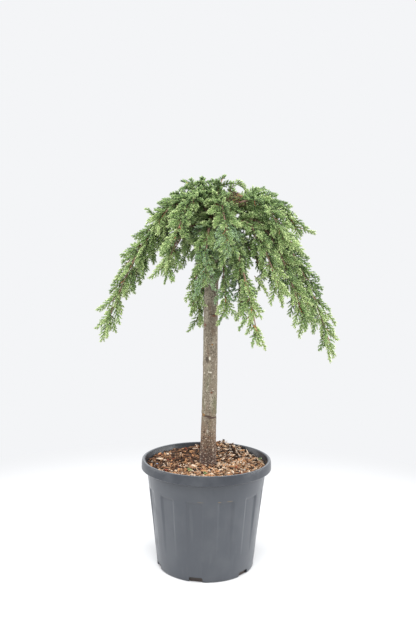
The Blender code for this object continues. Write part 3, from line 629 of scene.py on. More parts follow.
def joined(name, groups, finishes):
    """One object from (corners, triangles, finish numbers) groups of arrays."""
    corners = np.concatenate([group[0] for group in groups])
    starts = np.cumsum([0] + [len(group[0]) for group in groups[:-1]])
    triangles = np.concatenate([group[1] + start for group, start in zip(groups, starts)])
    numbers = np.concatenate([group[2] for group in groups])
    mesh = bpy.data.meshes.new(name)
    mesh.vertices.add(len(corners))
    mesh.vertices.foreach_set("co", corners.astype(np.float32).ravel())
    mesh.loops.add(3 * len(triangles))
    mesh.loops.foreach_set("vertex_index", triangles.astype(np.int32).ravel())
    mesh.polygons.add(len(triangles))
    mesh.polygons.foreach_set("loop_start", np.arange(0, 3 * len(triangles), 3, dtype=np.int32))
    mesh.polygons.foreach_set("material_index", numbers.astype(np.int32))
    for finish in finishes:
        mesh.materials.append(finish)
    mesh.update(calc_edges=True)
    mesh.validate()
    made = bpy.data.objects.new(name, mesh)
    bpy.context.scene.collection.objects.link(made)
    return made


def arrays_of(shape):
    """The corners and triangles of a bmesh, which is then freed."""
    bmesh.ops.triangulate(shape, faces=shape.faces)
    shape.verts.ensure_lookup_table()
    corners = np.array([vertex.co for vertex in shape.verts])
    triangles = np.array([[vertex.index for vertex in face.verts] for face in shape.faces])
    shape.free()
    return corners, triangles


def copies(corners, triangles, matrices, numbers):
    """Many copies of one small mesh, each placed by a 4x4 matrix and with its own finish."""
    placed = np.einsum("nij,vj->nvi", matrices[:, :3, :3], corners) + matrices[:, None, :3, 3]
    shifted = triangles[None] + len(corners) * np.arange(len(matrices))[:, None, None]
    return placed.reshape(-1, 3), shifted.reshape(-1, 3), np.repeat(numbers, len(triangles))


# %% Flakes
FLAKES = 5000
FLAKE_SHAPES = 7
FLAKE_LENGTHS = (0.0050, 0.0205)
FLAKE_WIDTHS = (0.16, 0.46)  # share of a flake's length
FLAKE_HEIGHTS = (0.07, 0.19)
FLAKE_LAYER = (-0.004, 0.0025)  # below and above the heap's surface
DEEP_LAYER = 0.35  # share of the flakes that lie deep and stand at any angle
TRUNK_FREE = 0.0262  # no flake's middle is nearer to the trunk's axis
# A few flakes that catch the eye: x, y, length, turn in degrees and tone.
SINGLE_FLAKES = (
    (-0.102, -0.076, 0.014, 20, 7),
    (-0.126, 0.020, 0.022, 5, 5),
    (-0.112, 0.012, 0.015, 60, 5),
    (-0.042, 0.102, 0.022, 30, 3),
    (-0.060, 0.092, 0.017, 75, 3),
    (0.066, -0.042, 0.018, 25, 3),
    (0.048, -0.012, 0.016, 110, 4),
    (-0.129, -0.030, 0.009, 40, 8),
    (-0.127, -0.032, 0.008, 130, 8),
)
BARK_TONES = (
    (0.036, 0.019, 0.012),
    (0.120, 0.058, 0.032),
    (0.275, 0.148, 0.078),
    (0.400, 0.205, 0.095),
    (0.430, 0.290, 0.180),
    (0.560, 0.440, 0.330),
    (0.340, 0.290, 0.240),
    (0.200, 0.040, 0.022),
    (0.330, 0.390, 0.520),
)
# How often each tone lies in the tawny front, in the dark left and on the pale heap.
TONES_FRONT = (15, 17, 24, 16, 17, 11, 5, 1, 0)
TONES_LEFT = (36, 28, 17, 8, 6, 4, 2, 1, 0)
TONES_HEAP = (26, 17, 13, 6, 13, 13, 13, 0, 0)


def flake_shape(rng):
    """An angular five-cornered flake, one long, with crooked corners."""
    shape = bmesh.new()
    size = {"segments": 5, "radius1": 0.5, "radius2": 0.40, "depth": 1.0}
    bmesh.ops.create_cone(shape, cap_ends=True, **size)
    for vertex in shape.verts:
        vertex.co += Vector([rng.uniform(-0.16, 0.16) for _ in range(3)])
    return arrays_of(shape)


def flake_tones(x, y):
    azimuth = math.degrees(math.atan2(y, x)) % 360
    if 25 < azimuth < 95 and math.hypot(x, y) > 0.055:
        return TONES_HEAP
    return TONES_LEFT if 95 <= azimuth < 225 else TONES_FRONT


def bark_flakes():
    rng = random.Random(f"{SEED} flakes")
    shapes = [flake_shape(rng) for _ in range(FLAKE_SHAPES)]
    places = [([], []) for _ in shapes]

    def lay(place, length, turns, tone):
        """Lays one flake at a place, turned about Z, X and Y by degrees."""
        turn = Matrix.Identity(4)
        for axis, angle in zip("ZXY", turns):
            turn = turn @ Matrix.Rotation(math.radians(angle), 4, axis)
        size = (length, length * rng.uniform(*FLAKE_WIDTHS), length * rng.uniform(*FLAKE_HEIGHTS))
        matrices, numbers = places[rng.randrange(len(shapes))]
        matrices.append(np.array(Matrix.Translation(place) @ turn @ Matrix.Diagonal((*size, 1.0))))
        numbers.append(tone)

    kept = 0
    while kept < FLAKES:
        level = rng.random()
        radius = RIM_CREST_RADIUS * math.sqrt(rng.random())
        azimuth = rng.uniform(0, TAU)
        place = Vector((radius * math.cos(azimuth), radius * math.sin(azimuth), 0.0))
        length = FLAKE_LENGTHS[0] + (FLAKE_LENGTHS[1] - FLAKE_LENGTHS[0]) * rng.random() ** 1.6
        place.z = mulch_height(place.x, place.y) + FLAKE_LAYER[0] + (FLAKE_LAYER[1] - FLAKE_LAYER[0]) * level
        near_wall = radius + 0.42 * length > inner_radius(place.z) - 0.001
        if near_wall or (place.xy - Vector((TRUNK_FOOT_X, 0.0))).length < TRUNK_FREE:
            continue
        kept += 1
        tilt = rng.gauss(0, 22 if level > DEEP_LAYER else 48)
        tone = rng.choices(range(len(BARK_TONES)), flake_tones(place.x, place.y))[0]
        lay(place, length, (rng.uniform(0, 360), tilt, rng.gauss(0, 20)), tone)
    for x, y, length, turn, tone in SINGLE_FLAKES:
        lay((x, y, mulch_height(x, y) + FLAKE_LAYER[1] + 0.001), length, (turn, 14, 8), tone)
    finishes = [new_finish(f"bark_flake_{i}", tone, 0.85, 0.25) for i, tone in enumerate(BARK_TONES)]
    groups = [copies(*shape, np.array(m), np.array(n)) for shape, (m, n) in zip(shapes, places)]
    return joined("bark_flakes", groups, finishes)


shown(bark_flakes(), "bark_chips")

# %% [markdown]
# The trunk.
#
# The stem is bare up to the crown and nearly straight: a rootstock that was grown on a cane. Its
# skin is a turned tube whose vertices are moved out and in by the bark's relief: long shallow
# furrows, fine flaking, a ring where an old whorl of branches was cut off, and a few scars. Noise
# that is stretched along the stem gives the furrows. The sizes are the frame's own.

# %% Trunk line
TRUNK_TOP = 0.925
TRUNK_LEAN = 0.42  # degrees, to the right
TRUNK_BEND = 0.0006
TRUNK_BEND_LENGTH = 0.46
TRUNK_RADIUS = 0.0203
TRUNK_TOP_RADIUS = 0.0180
FLARE = 0.0036
FLARE_HEIGHT = 0.030
HEAD_SWELL = 0.0022
HEAD_HEIGHT = 0.86
HEAD_LENGTH = 0.045


def trunk_axis(height):
    """The middle of the trunk at a height: a slight lean with a slow bend in it."""
    rise = height - MULCH_SEAT
    bend = TRUNK_BEND * (1 - math.cos(TAU * rise / TRUNK_BEND_LENGTH))
    return Vector((TRUNK_FOOT_X + rise * math.tan(math.radians(TRUNK_LEAN)) + bend, 0.3 * bend, height))


def trunk_radius(height):
    share = (height - MULCH_SEAT) / (TRUNK_TOP - MULCH_SEAT)
    taper = TRUNK_RADIUS + (TRUNK_TOP_RADIUS - TRUNK_RADIUS) * share
    flare = FLARE * math.exp(-(height - MULCH_SEAT) / FLARE_HEIGHT)
    swell = HEAD_SWELL * math.exp(-(((height - HEAD_HEIGHT) / HEAD_LENGTH) ** 2))
    return taper + flare + swell


# %% Bark relief
RING_HEIGHT = 0.3965  # an old whorl scar
RING_THICK = 0.0045
# Scars and knots on the trunk: azimuth in degrees, height, half width, half height, how far out.
TRUNK_MARKS = (
    (266, 0.552, 0.0042, 0.0060, 0.0016),
    (248, 0.549, 0.0050, 0.0080, -0.0012),
    (272, 0.5148, 0.0060, 0.0022, 0.0011),
    (284, 0.589, 0.0030, 0.0026, 0.0007),
    (216, 0.640, 0.0040, 0.0060, -0.0008),
    (290, 0.667, 0.0080, 0.0022, -0.0010),
    (262, 0.358, 0.0040, 0.0065, 0.0012),
    (98, 0.470, 0.0060, 0.0070, 0.0016),
    (65, 0.610, 0.0050, 0.0060, 0.0014),
    (170, 0.535, 0.0050, 0.0075, 0.0013),
    (20, 0.430, 0.0050, 0.0060, 0.0013),
    (140, 0.370, 0.0060, 0.0080, 0.0015),
)


def bark_relief(angle, height, radius):
    """How far the trunk's bark stands out at a place."""
    around = Vector((math.cos(angle), math.sin(angle), 0.0)) * radius
    place = around + Vector((0, 0, height))
    lumps = noise.noise(Vector((place.x * 60, place.y * 60, place.z * 9))) * 0.0009
    furrows = noise.noise(Vector((place.x * 260, place.y * 260, place.z * 30 + 7))) * 0.00045
    flaking = noise.noise(Vector((place.x * 520, place.y * 520, place.z * 260))) * 0.00024
    coarse = 1.0 + 1.1 * (1 - smooth_step(height, 0.36, 0.41))
    from_ring = height - RING_HEIGHT - 0.0035 * math.sin(2 * angle + 0.9)
    ring = -0.0008 * math.exp(-((from_ring / RING_THICK) ** 2)) * (1 + lumps / 0.0009)
    lip = 0.0006 * math.exp(-(((from_ring - 0.008) / 0.004) ** 2))
    marks = 0.0
    for azimuth, middle, wide, tall, out in TRUNK_MARKS:
        aside = radius * math.remainder(angle - math.radians(azimuth), TAU) / wide
        above = (height - middle) / tall
        if abs(aside) < 2.5 and abs(above) < 2.5:
            marks += out * math.exp(-(aside**2 + above**2))
    return lumps + (furrows + flaking) * coarse + ring + lip + marks


# %% Trunk shape
TRUNK_STEPS = 76
TRUNK_RINGS = 330


def upright_tube(steps, rings):
    """A closed tube with radius 1 from Z 0 to Z 1, to be bent and given its relief."""
    shape = bmesh.new()
    chain = outline(shape, ((0.0, 0.0), (1.0, 0.0), (1.0, 1.0), (0.0, 1.0)))
    bmesh.ops.subdivide_edges(shape, edges=chain[1:2], cuts=rings - 1)
    turned(shape, steps)
    return shape


def trunk_bark(finish):
    shape = upright_tube(TRUNK_STEPS, TRUNK_RINGS)
    low = MULCH_SEAT - 0.004
    for vertex in shape.verts:
        height = low + (TRUNK_TOP - low) * vertex.co.z
        angle = math.atan2(vertex.co.y, vertex.co.x)
        radius = trunk_radius(max(height, MULCH_SEAT))
        reach = vertex.co.xy.length * (radius + bark_relief(angle, height, radius))
        middle = trunk_axis(height)
        vertex.co = (middle.x + reach * math.cos(angle), middle.y + reach * math.sin(angle), height)
    return finished(shape, "trunk_bark", finish, sharp=180)


# %% Trunk finish
BARK_MIDDLE = (0.185, 0.155, 0.115)
BARK_PALE = (0.300, 0.265, 0.205)
BARK_DARK = (0.078, 0.062, 0.045)
BARK_FOOT = (0.066, 0.042, 0.033)
BARK_FOOT_DARK = (0.040, 0.026, 0.021)
BARK_FOOT_PALE = (0.330, 0.270, 0.210)
BARK_FLECK = (0.400, 0.360, 0.295)
BARK_RED = (0.135, 0.060, 0.036)
BARK_OLIVE = (0.135, 0.132, 0.078)
BARK_ORANGE = (0.22, 0.125, 0.050)
BARE_WOOD = (0.52, 0.49, 0.41)
BARK_SCUFF = (0.30, 0.27, 0.22)
BARK_BROWN = (0.150, 0.104, 0.068)


def on_trunk(azimuth, height):
    """The point of the trunk's surface at an azimuth and a height."""
    angle, middle = math.radians(azimuth), trunk_axis(height)
    radius = trunk_radius(height)
    return (middle.x + radius * math.cos(angle), middle.y + radius * math.sin(angle), height)


def old_bark():
    """Grey-brown bark with pale flakes and olive algae, darker and redder at the foot."""
    finish = new_finish("old_bark", BARK_MIDDLE, 0.85, 0.25)
    tree = finish.node_tree
    shader = tree.nodes["Principled BSDF"]
    where = add_node(tree, "ShaderNodeTexCoord").outputs["Object"]
    tall = add_node(tree, "ShaderNodeMapping", {"Vector": where, "Scale": (1.0, 1.0, 0.3)}).outputs["Vector"]
    colour = mixed(tree, blotches(tree, tall, 90.0, 0.46, 0.66), (*BARK_MIDDLE, 1), (*BARK_PALE, 1))
    colour = mixed(tree, blotches(tree, tall, 45.0, 0.50, 0.72), colour, (*BARK_OLIVE, 1))
    browner = product(tree, blotches(tree, tall, 62.0, 0.50, 0.64), 0.55)
    colour = mixed(tree, browner, colour, (*BARK_BROWN, 1))
    flecks = product(tree, blotches(tree, where, 210.0, 0.55, 0.66), 0.7)
    colour = mixed(tree, flecks, colour, (*BARK_FLECK, 1))
    colour = mixed(tree, blotches(tree, where, 330.0, 0.51, 0.64), colour, (*BARK_DARK, 1))
    height = add_node(tree, "ShaderNodeSeparateXYZ", {0: where}).outputs["Z"]
    wander = add_node(tree, "ShaderNodeTexNoise", {"Vector": where, "Scale": 70.0})
    moved = add_node(tree, "ShaderNodeMath", {0: wander.outputs["Fac"], 1: 0.03, 2: height}, operation="MULTIPLY_ADD")
    foot, lowest = ramp(tree, moved.outputs[0], 0.425, 0.355), ramp(tree, moved.outputs[0], 0.355, 0.305)
    reddish = mixed(tree, lowest, (*BARK_BROWN, 1), (*BARK_FOOT, 1))
    redder = product(tree, blotches(tree, where, 150.0, 0.54, 0.64), 0.6)
    reddish = mixed(tree, redder, reddish, (*BARK_RED, 1))
    reddish = mixed(tree, blotches(tree, where, 230.0, 0.53, 0.62), reddish, (*BARK_FOOT_DARK, 1))
    reddish = mixed(tree, blotches(tree, where, 270.0, 0.56, 0.64), reddish, (*BARK_FOOT_PALE, 1))
    colour = mixed(tree, foot, colour, reddish)
    for azimuth, level, size, tone in (
        (286, 0.6685, (0.012, 0.009, 0.0014), BARK_DARK),
        (297, 0.6645, (0.006, 0.009, 0.0026), BARK_RED),
        (216, 0.640, (0.004, 0.005, 0.0050), BARK_RED),
        (325, 0.6197, (0.004, 0.006, 0.004), BARK_PALE),
        (284, 0.589, (0.0032, 0.004, 0.0026), BARK_ORANGE),
        (243, 0.549, (0.0050, 0.006, 0.0080), BARK_DARK),
        (266, 0.5525, (0.0026, 0.005, 0.0052), BARE_WOOD),
        (262, 0.5160, (0.0030, 0.006, 0.0012), BARE_WOOD),
        (276, 0.5150, (0.0032, 0.006, 0.0018), BARE_WOOD),
        (285, 0.462, (0.0030, 0.005, 0.0026), BARK_RED),
        (245, 0.3985, (0.016, 0.020, 0.0022), BARK_FOOT),
        (300, 0.3940, (0.018, 0.020, 0.0026), BARK_FOOT),
        (90, RING_HEIGHT, (0.030, 0.020, 0.0026), BARK_FOOT),
        (222, 0.4015, (0.0045, 0.008, 0.0038), BARK_ORANGE),
        (262, 0.358, (0.0026, 0.005, 0.0050), BARK_SCUFF),
        (98, 0.470, (0.006, 0.006, 0.006), BARK_DARK),
        (170, 0.535, (0.005, 0.005, 0.007), BARK_SCUFF),
        (65, 0.610, (0.006, 0.006, 0.005), BARK_RED),
    ):
        colour = mixed(tree, mark(tree, where, on_trunk(azimuth, level), size, 1.1), colour, (*tone, 1))
    tree.links.new(colour, shader.inputs["Base Color"])
    fibres = add_node(tree, "ShaderNodeTexNoise", {"Vector": tall, "Scale": 620.0, "Detail": 5.0})
    bump = add_node(tree, "ShaderNodeBump", {"Height": fibres.outputs["Fac"], "Strength": 0.55, "Distance": 0.0009})
    tree.links.new(bump.outputs["Normal"], shader.inputs["Normal"])
    return finish


OLD_BARK = old_bark()
shown(trunk_bark(OLD_BARK), "trunk_bark", "trunk")

# %% [markdown]
# The plant's plan.
#
# Each arm of the crown leaves the trunk at a height and an azimuth, arches over a crest and falls
# to a tip. Those few numbers are the whole plan. They are the frame's own, so the boughs and the
# foliage grown here run where the frame's solids run. Up to its crest an arm is a bare bough, and
# from there it is the stem of its foliage. A cap is a tuft on a short stem of its own, standing on
# the trunk's cut top.

# %% Plan of the crown
# Growing: share of the arm where foliage begins (0: the crest), how far foliage stands out, the
# length of one spray, from one side shoot to the next, whether shoots stand all round the stem.
WEEPING = (0.0, 0.072, 0.068, 0.0180, True)
SLIM = (0.0, 0.054, 0.060, 0.0190, True)
INNER = (0.0, 0.056, 0.058, 0.0170, True)
DOME = (0.25, 0.072, 0.066, 0.0165, False)
TUFT = (0.0, 0.052, 0.050, 0.0085, True)
# Arms: azimuth in degrees, root height, crest (radius, height), tip (radius, height), growing.
ARMS = {
    "left": (184, 0.862, (0.100, 0.924), (0.290, 0.596), WEEPING),
    "left_rear": (164, 0.838, (0.092, 0.922), (0.242, 0.720), WEEPING),
    "left_front": (223, 0.850, (0.080, 0.898), (0.162, 0.772), WEEPING),
    "right": (359, 0.858, (0.112, 0.922), (0.327, 0.560), WEEPING),
    "right_rear": (24, 0.842, (0.114, 0.924), (0.320, 0.628), WEEPING),
    "right_front": (338, 0.846, (0.105, 0.915), (0.256, 0.638), WEEPING),
    "right_middle": (321, 0.824, (0.095, 0.908), (0.220, 0.714), WEEPING),
    "front_right": (300, 0.850, (0.054, 0.880), (0.224, 0.608), SLIM),
    "front": (262, 0.839, (0.068, 0.890), (0.138, 0.745), WEEPING),
    "rear": (93, 0.838, (0.075, 0.905), (0.246, 0.700), WEEPING),
    "rear_right": (64, 0.826, (0.080, 0.905), (0.238, 0.765), WEEPING),
    "rear_left": (128, 0.832, (0.080, 0.902), (0.220, 0.782), WEEPING),
    "front_right_inner": (307, 0.798, (0.062, 0.868), (0.136, 0.662), INNER),
    "front_lime": (286, 0.826, (0.058, 0.872), (0.130, 0.668), INNER),
    "front_left": (236, 0.812, (0.048, 0.860), (0.082, 0.690), INNER),
    "rear_left_inner": (122, 0.800, (0.042, 0.842), (0.064, 0.634), SLIM),
    "right_inner": (354, 0.806, (0.066, 0.868), (0.140, 0.764), INNER),
    "dome_right": (10, 0.900, (0.124, 0.974), (0.246, 0.884), DOME),
    "dome_right_rear": (43, 0.894, (0.108, 0.970), (0.232, 0.868), DOME),
    "dome_rear_right": (76, 0.900, (0.095, 0.966), (0.215, 0.850), DOME),
    "dome_rear_left": (110, 0.894, (0.090, 0.964), (0.205, 0.850), DOME),
    "dome_left_rear": (152, 0.900, (0.096, 0.964), (0.186, 0.890), DOME),
    "dome_left_front": (198, 0.894, (0.078, 0.964), (0.162, 0.884), DOME),
    "dome_front_left": (237, 0.900, (0.080, 0.964), (0.178, 0.836), DOME),
    "dome_front": (281, 0.894, (0.085, 0.954), (0.190, 0.815), DOME),
    "dome_right_front": (328, 0.900, (0.110, 0.962), (0.226, 0.838), DOME),
}
# Caps: azimuth in degrees, tip (radius, height), growing.
CAPS = {
    "top_right": (20, (0.066, 1.006), TUFT),
    "top_left": (176, (0.076, 1.014), TUFT),
    "top_rear": (98, (0.056, 1.012), TUFT),
    "top_front": (292, (0.058, 1.013), TUFT),
    "top_front_left": (228, (0.066, 1.015), TUFT),
}
CAP_FOOT_RADIUS = 0.0085
CAP_RISE = 0.9  # share of its height at which a cap's stem turns outwards
RISE_PULL = 0.55  # share of the crest's radius at which an arm's rise turns over
FALL_PULL = 0.42  # share of the way from crest to tip at which its fall turns down
print("crown:", len(ARMS), "arms and", len(CAPS), "caps")

# %% Lines through space


def length_of(line):
    return float(np.linalg.norm(np.diff(line, axis=0), axis=1).sum())


def points_at(line, shares):
    """The points at some shares of the length of a line of points."""
    steps = np.linalg.norm(np.diff(line, axis=0), axis=1)
    so_far = np.concatenate(([0.0], np.cumsum(steps)))
    wanted = np.array(shares) * so_far[-1]
    return np.stack([np.interp(wanted, so_far, line[:, axis]) for axis in range(3)], axis=1)


def bezier(a, b, c, count):
    """A quadratic curve through points a and c, pulled towards b."""
    t = np.linspace(0.0, 1.0, count)[:, None]
    return (1 - t) ** 2 * np.array(a) + 2 * t * (1 - t) * np.array(b) + t**2 * np.array(c)


def in_space(flat, azimuth, foot):
    """Turns (radius, height) points to an azimuth round the trunk's axis at its foot."""
    angle = math.radians(azimuth)
    x = foot.x + flat[:, 0] * math.cos(angle)
    y = foot.y + flat[:, 0] * math.sin(angle)
    return np.stack([x, y, flat[:, 1]], axis=1)


def arm_line(azimuth, root, crest, tip):
    """The whole centre line of an arm and the share of its length at which its crest lies."""
    rise = bezier((0.0, root), (RISE_PULL * crest[0], crest[1]), crest, 24)
    pull = (crest[0] + FALL_PULL * (tip[0] - crest[0]), crest[1])
    fall = bezier(crest, pull, tip, 40)
    line = in_space(np.concatenate([rise, fall[1:]]), azimuth, trunk_axis(root))
    return line, length_of(line[: len(rise)]) / length_of(line)


def cap_line(azimuth, tip):
    """The centre line of a cap's stem: up from the trunk's cut top, then leaning out."""
    pull = (RISE_PULL * tip[0], TRUNK_TOP + CAP_RISE * (tip[1] - TRUNK_TOP))
    start = (CAP_FOOT_RADIUS, TRUNK_TOP + GAP)
    return in_space(bezier(start, pull, tip, 24), azimuth, trunk_axis(TRUNK_TOP))


# %% [markdown]
# The boughs.
#
# A bough is one limb that tapers from the trunk to its foliage. It swells where it leaves the
# trunk, and its bark is thin and scaly. Each one is the same upright tube as the trunk, bent
# along its arm. Only short stretches of them can be seen under the foliage, from the side and
# from below.

# %% Bough shapes
BOUGH_RADIUS = 0.0060
BOUGH_TIP_RADIUS = 0.0034
BOUGH_STEPS = 12
BOUGH_RINGS = 30
COLLAR = 0.0032  # what the swelling at its foot adds to a bough's radius
COLLAR_LENGTH = 0.016


def bend_along(shape, line, radius_at):
    """Bends an upright tube along a line of points; radius_at gives the radius at (share, angle)."""
    shares = np.linspace(0.0, 1.0, 120)
    points = points_at(line, shares)
    directions = np.gradient(points, axis=0)
    for vertex in shape.verts:
        spot = vertex.co.z * (len(shares) - 1)
        index = min(int(spot), len(shares) - 2)
        middle = Vector(points[index]).lerp(Vector(points[index + 1]), spot - index)
        along = Vector(directions[min(round(spot), len(shares) - 1)]).normalized()
        side = along.cross(Vector((0.3, 0.2, 1.0))).normalized()
        over = side.cross(along)
        angle = math.atan2(vertex.co.y, vertex.co.x)
        reach = vertex.co.xy.length * radius_at(vertex.co.z, angle)
        vertex.co = middle + (side * math.cos(angle) + over * math.sin(angle)) * reach
    bmesh.ops.recalc_face_normals(shape, faces=shape.faces)


def bough_bark(name, line, entry, finish):
    """A bough from just inside the trunk to where its foliage begins."""
    total = length_of(line) * entry
    start = 0.6 * TRUNK_TOP_RADIUS / total
    run = points_at(line, np.linspace(start * entry, entry, 60))
    shift = 11 * random.Random(name).random()

    def radius_at(share, angle):
        along = share * total
        taper = BOUGH_RADIUS + (BOUGH_TIP_RADIUS - BOUGH_RADIUS) * share
        collar = COLLAR * math.exp(-max(0.0, along - 0.008) / COLLAR_LENGTH)
        scales = Vector((3 * math.cos(angle), 3 * math.sin(angle), along * 130 + shift))
        return taper + collar + 0.00055 * noise.noise(scales)

    shape = upright_tube(BOUGH_STEPS, BOUGH_RINGS)
    bend_along(shape, run, radius_at)
    return finished(shape, f"bough_bark_{name}", finish, sharp=180)


def scaly_bark():
    """Thin red-brown bark in small scales, greyer where it is old."""
    finish = new_finish("scaly_bark", (0.15, 0.088, 0.056), 0.82, 0.25)
    tree = finish.node_tree
    shader = tree.nodes["Principled BSDF"]
    where = add_node(tree, "ShaderNodeTexCoord").outputs["Object"]
    colour = mixed(tree, blotches(tree, where, 120.0, 0.42, 0.64), (0.135, 0.075, 0.048, 1), (0.25, 0.205, 0.165, 1))
    colour = mixed(tree, blotches(tree, where, 420.0, 0.52, 0.66), colour, (0.055, 0.034, 0.026, 1))
    tree.links.new(colour, shader.inputs["Base Color"])
    scales = add_node(tree, "ShaderNodeTexNoise", {"Vector": where, "Scale": 700.0, "Detail": 4.0})
    bump = add_node(tree, "ShaderNodeBump", {"Height": scales.outputs["Fac"], "Strength": 0.6, "Distance": 0.0008})
    tree.links.new(bump.outputs["Normal"], shader.inputs["Normal"])
    return finish


SCALY_BARK = scaly_bark()
masses = {}
for name, (azimuth, root, crest, tip, growing) in ARMS.items():
    line, crest_share = arm_line(azimuth, root, crest, tip)
    entry = growing[0] or crest_share
    shown(bough_bark(name, line, entry, SCALY_BARK), "twig_bark", f"bough_{name}")
    masses[name] = points_at(line, np.linspace(entry, 1.0, 40)), growing
for name, (azimuth, tip, growing) in CAPS.items():
    masses[name] = cap_line(azimuth, tip), growing

# %% [markdown]
# The rule of growth.
#
# Foliage isn't placed by hand. A stem bears side shoots, each a golden angle further round than
# the last or to alternate hands, and each shoot bears sprays. A spray is kept only where it is
# nearer to its own stem than to any other stem, so each mass fills its own space. These are the
# same draws as in the frame, in the same order, so each spray here grows where a plain blade of
# the frame lies. It is then grown finer, into twigs and needles.

# %% Distances between lines
SPACE_GAP = 0.0016
LIMB_GAP = 0.0014


class Lines:
    """Centre lines with radii, kept as straight stretches to measure distances from."""

    def __init__(self):
        self.owners, self.starts, self.ends, self.radii = [], [], [], []

    def add(self, owner, points, radii):
        for start, end, radius in zip(points[:-1], points[1:], radii):
            self.owners.append(owner)
            self.starts.append(start)
            self.ends.append(end)
            self.radii.append(radius)

    def distances(self, points):
        """The distance from each point to each stretch."""
        start = np.array(self.starts)[None]
        run = np.array(self.ends)[None] - start
        offset = np.array(points)[:, None] - start
        share = (offset * run).sum(2) / np.maximum((run * run).sum(2), 1e-12)
        return np.linalg.norm(offset - run * share.clip(0, 1)[..., None], axis=2)

    def nearest_other(self, points, owner):
        """How much nearer each point is to its own line than to any other."""
        far = self.distances(points)
        own = np.array([name == owner for name in self.owners])
        return far[:, ~own].min(1) - far[:, own].min(1)

    def clearance(self, points):
        """The air between each point and the surface of the nearest limb."""
        return (self.distances(points) - np.array(self.radii)[None]).min(1)


limbs, stems = Lines(), Lines()
heights = np.linspace(MULCH_SEAT, TRUNK_TOP, 12)
limbs.add("trunk", [trunk_axis(height) for height in heights], [trunk_radius(height) for height in heights])
for name, (azimuth, root, crest, tip, growing) in ARMS.items():
    line, crest_share = arm_line(azimuth, root, crest, tip)
    entry = growing[0] or crest_share
    points = points_at(line, np.linspace(0.0, entry, 8))
    limbs.add(name, points, np.linspace(BOUGH_RADIUS, BOUGH_TIP_RADIUS, 8))
for name, (stem, _) in masses.items():
    stems.add(name, stem, [BOUGH_TIP_RADIUS] * len(stem))
print("lines:", len(limbs.owners), "stretches of limb and", len(stems.owners), "of stem")

# %% Sprays by the source's rule
STEM_TIP_RADIUS = 0.0013
TWIG_RADIUS = 0.0017
TWIG_TIP_RADIUS = 0.0011
SHOOT_DROOP = 0.16
SHOOT_ROLLS = (-20, 65)
GOLDEN_ANGLE = 137.5
SHOOT_TRIES = ((1.0, 42, 0), (1.0, 30, 20), (0.85, 50, -20), (0.8, 24, 0), (0.65, 40, 20), (0.55, 60, -20))
TWIG_LEAST = 0.012
ANGLE_DRAW = 5  # degrees by which the angle of a shoot is drawn either way
TWIST_DRAW = 12
FORK_MIDDLE = 0.55  # share of a twig's length round which its two forks leave
FORK_APART = 0.2
FORK_SPREAD = 0.9
FORK_LIFTS = (0.15, 0.35)  # how far forks lift out of their spray's plane
FORK_SIZE = 0.8  # of the spray at the twig's end
STEM_STOP = 0.80  # share of a spray's length by which a stem ends before its mass does
TIP_FACES = (0.3, 1.0, 0.2)  # across which the spray at a stem's end lies
FULLEST = 0.33  # share of a stem at which the foliage stands out furthest
BASE_WIDTH = 0.80  # share of the full width at its start
TIP_NARROWING = 0.36  # share of it that is lost from the fullest place to the tip
SHOOT_SIZES = (0.86, 1.08)  # of the kind's spray
SHOOT_SHORTENING = 0.22  # share that sprays lose from a stem's start to its end
ROOT_FREE = 0.010
MINGLING = 0.016  # how far a spray of the second pass may reach into a neighbour's space
OUTER_BLADE = 0.4  # share of a blade past which the second pass tests it
SPRAY_SUNK = 0.006
SPRAY_OUTLINE = ((0.30, 0.215), (0.42, 0.100), (0.66, 0.185))
SPRAY_MIDDLE = (0.0, -0.04, 0.43)


def spray_blade():
    """The corners, edges and faces of the plain blade that stands for a spray, one long along Z."""
    right = [(aside, 0.0, along) for along, aside in SPRAY_OUTLINE]
    left = [(-x, y, z) for x, y, z in reversed(right)]
    rim = [(0.0, 0.0, 0.0), *right, (0.0, 0.0, 1.0), *left]
    count = len(rim)
    ring = [(index, (index + 1) % count) for index in range(count)]
    edges = ring + [(index, count) for index in range(count)]
    faces = [tuple(range(count))] + [(b, a, count) for a, b in ring]
    return [Vector(place) for place in (*rim, SPRAY_MIDDLE)], edges, faces


def facing(root, direction, across, scale):
    """Places a piece at a root with its Z along direction and its X as near as may be to across."""
    along = Vector(direction).normalized()
    normal = along.cross(Vector(across)).normalized()
    aside = normal.cross(along)
    turn = Matrix((aside, normal, along)).transposed().to_4x4()
    return Matrix.Translation(root) @ turn @ Matrix.Diagonal((*scale, 1.0))


BLADE = spray_blade()


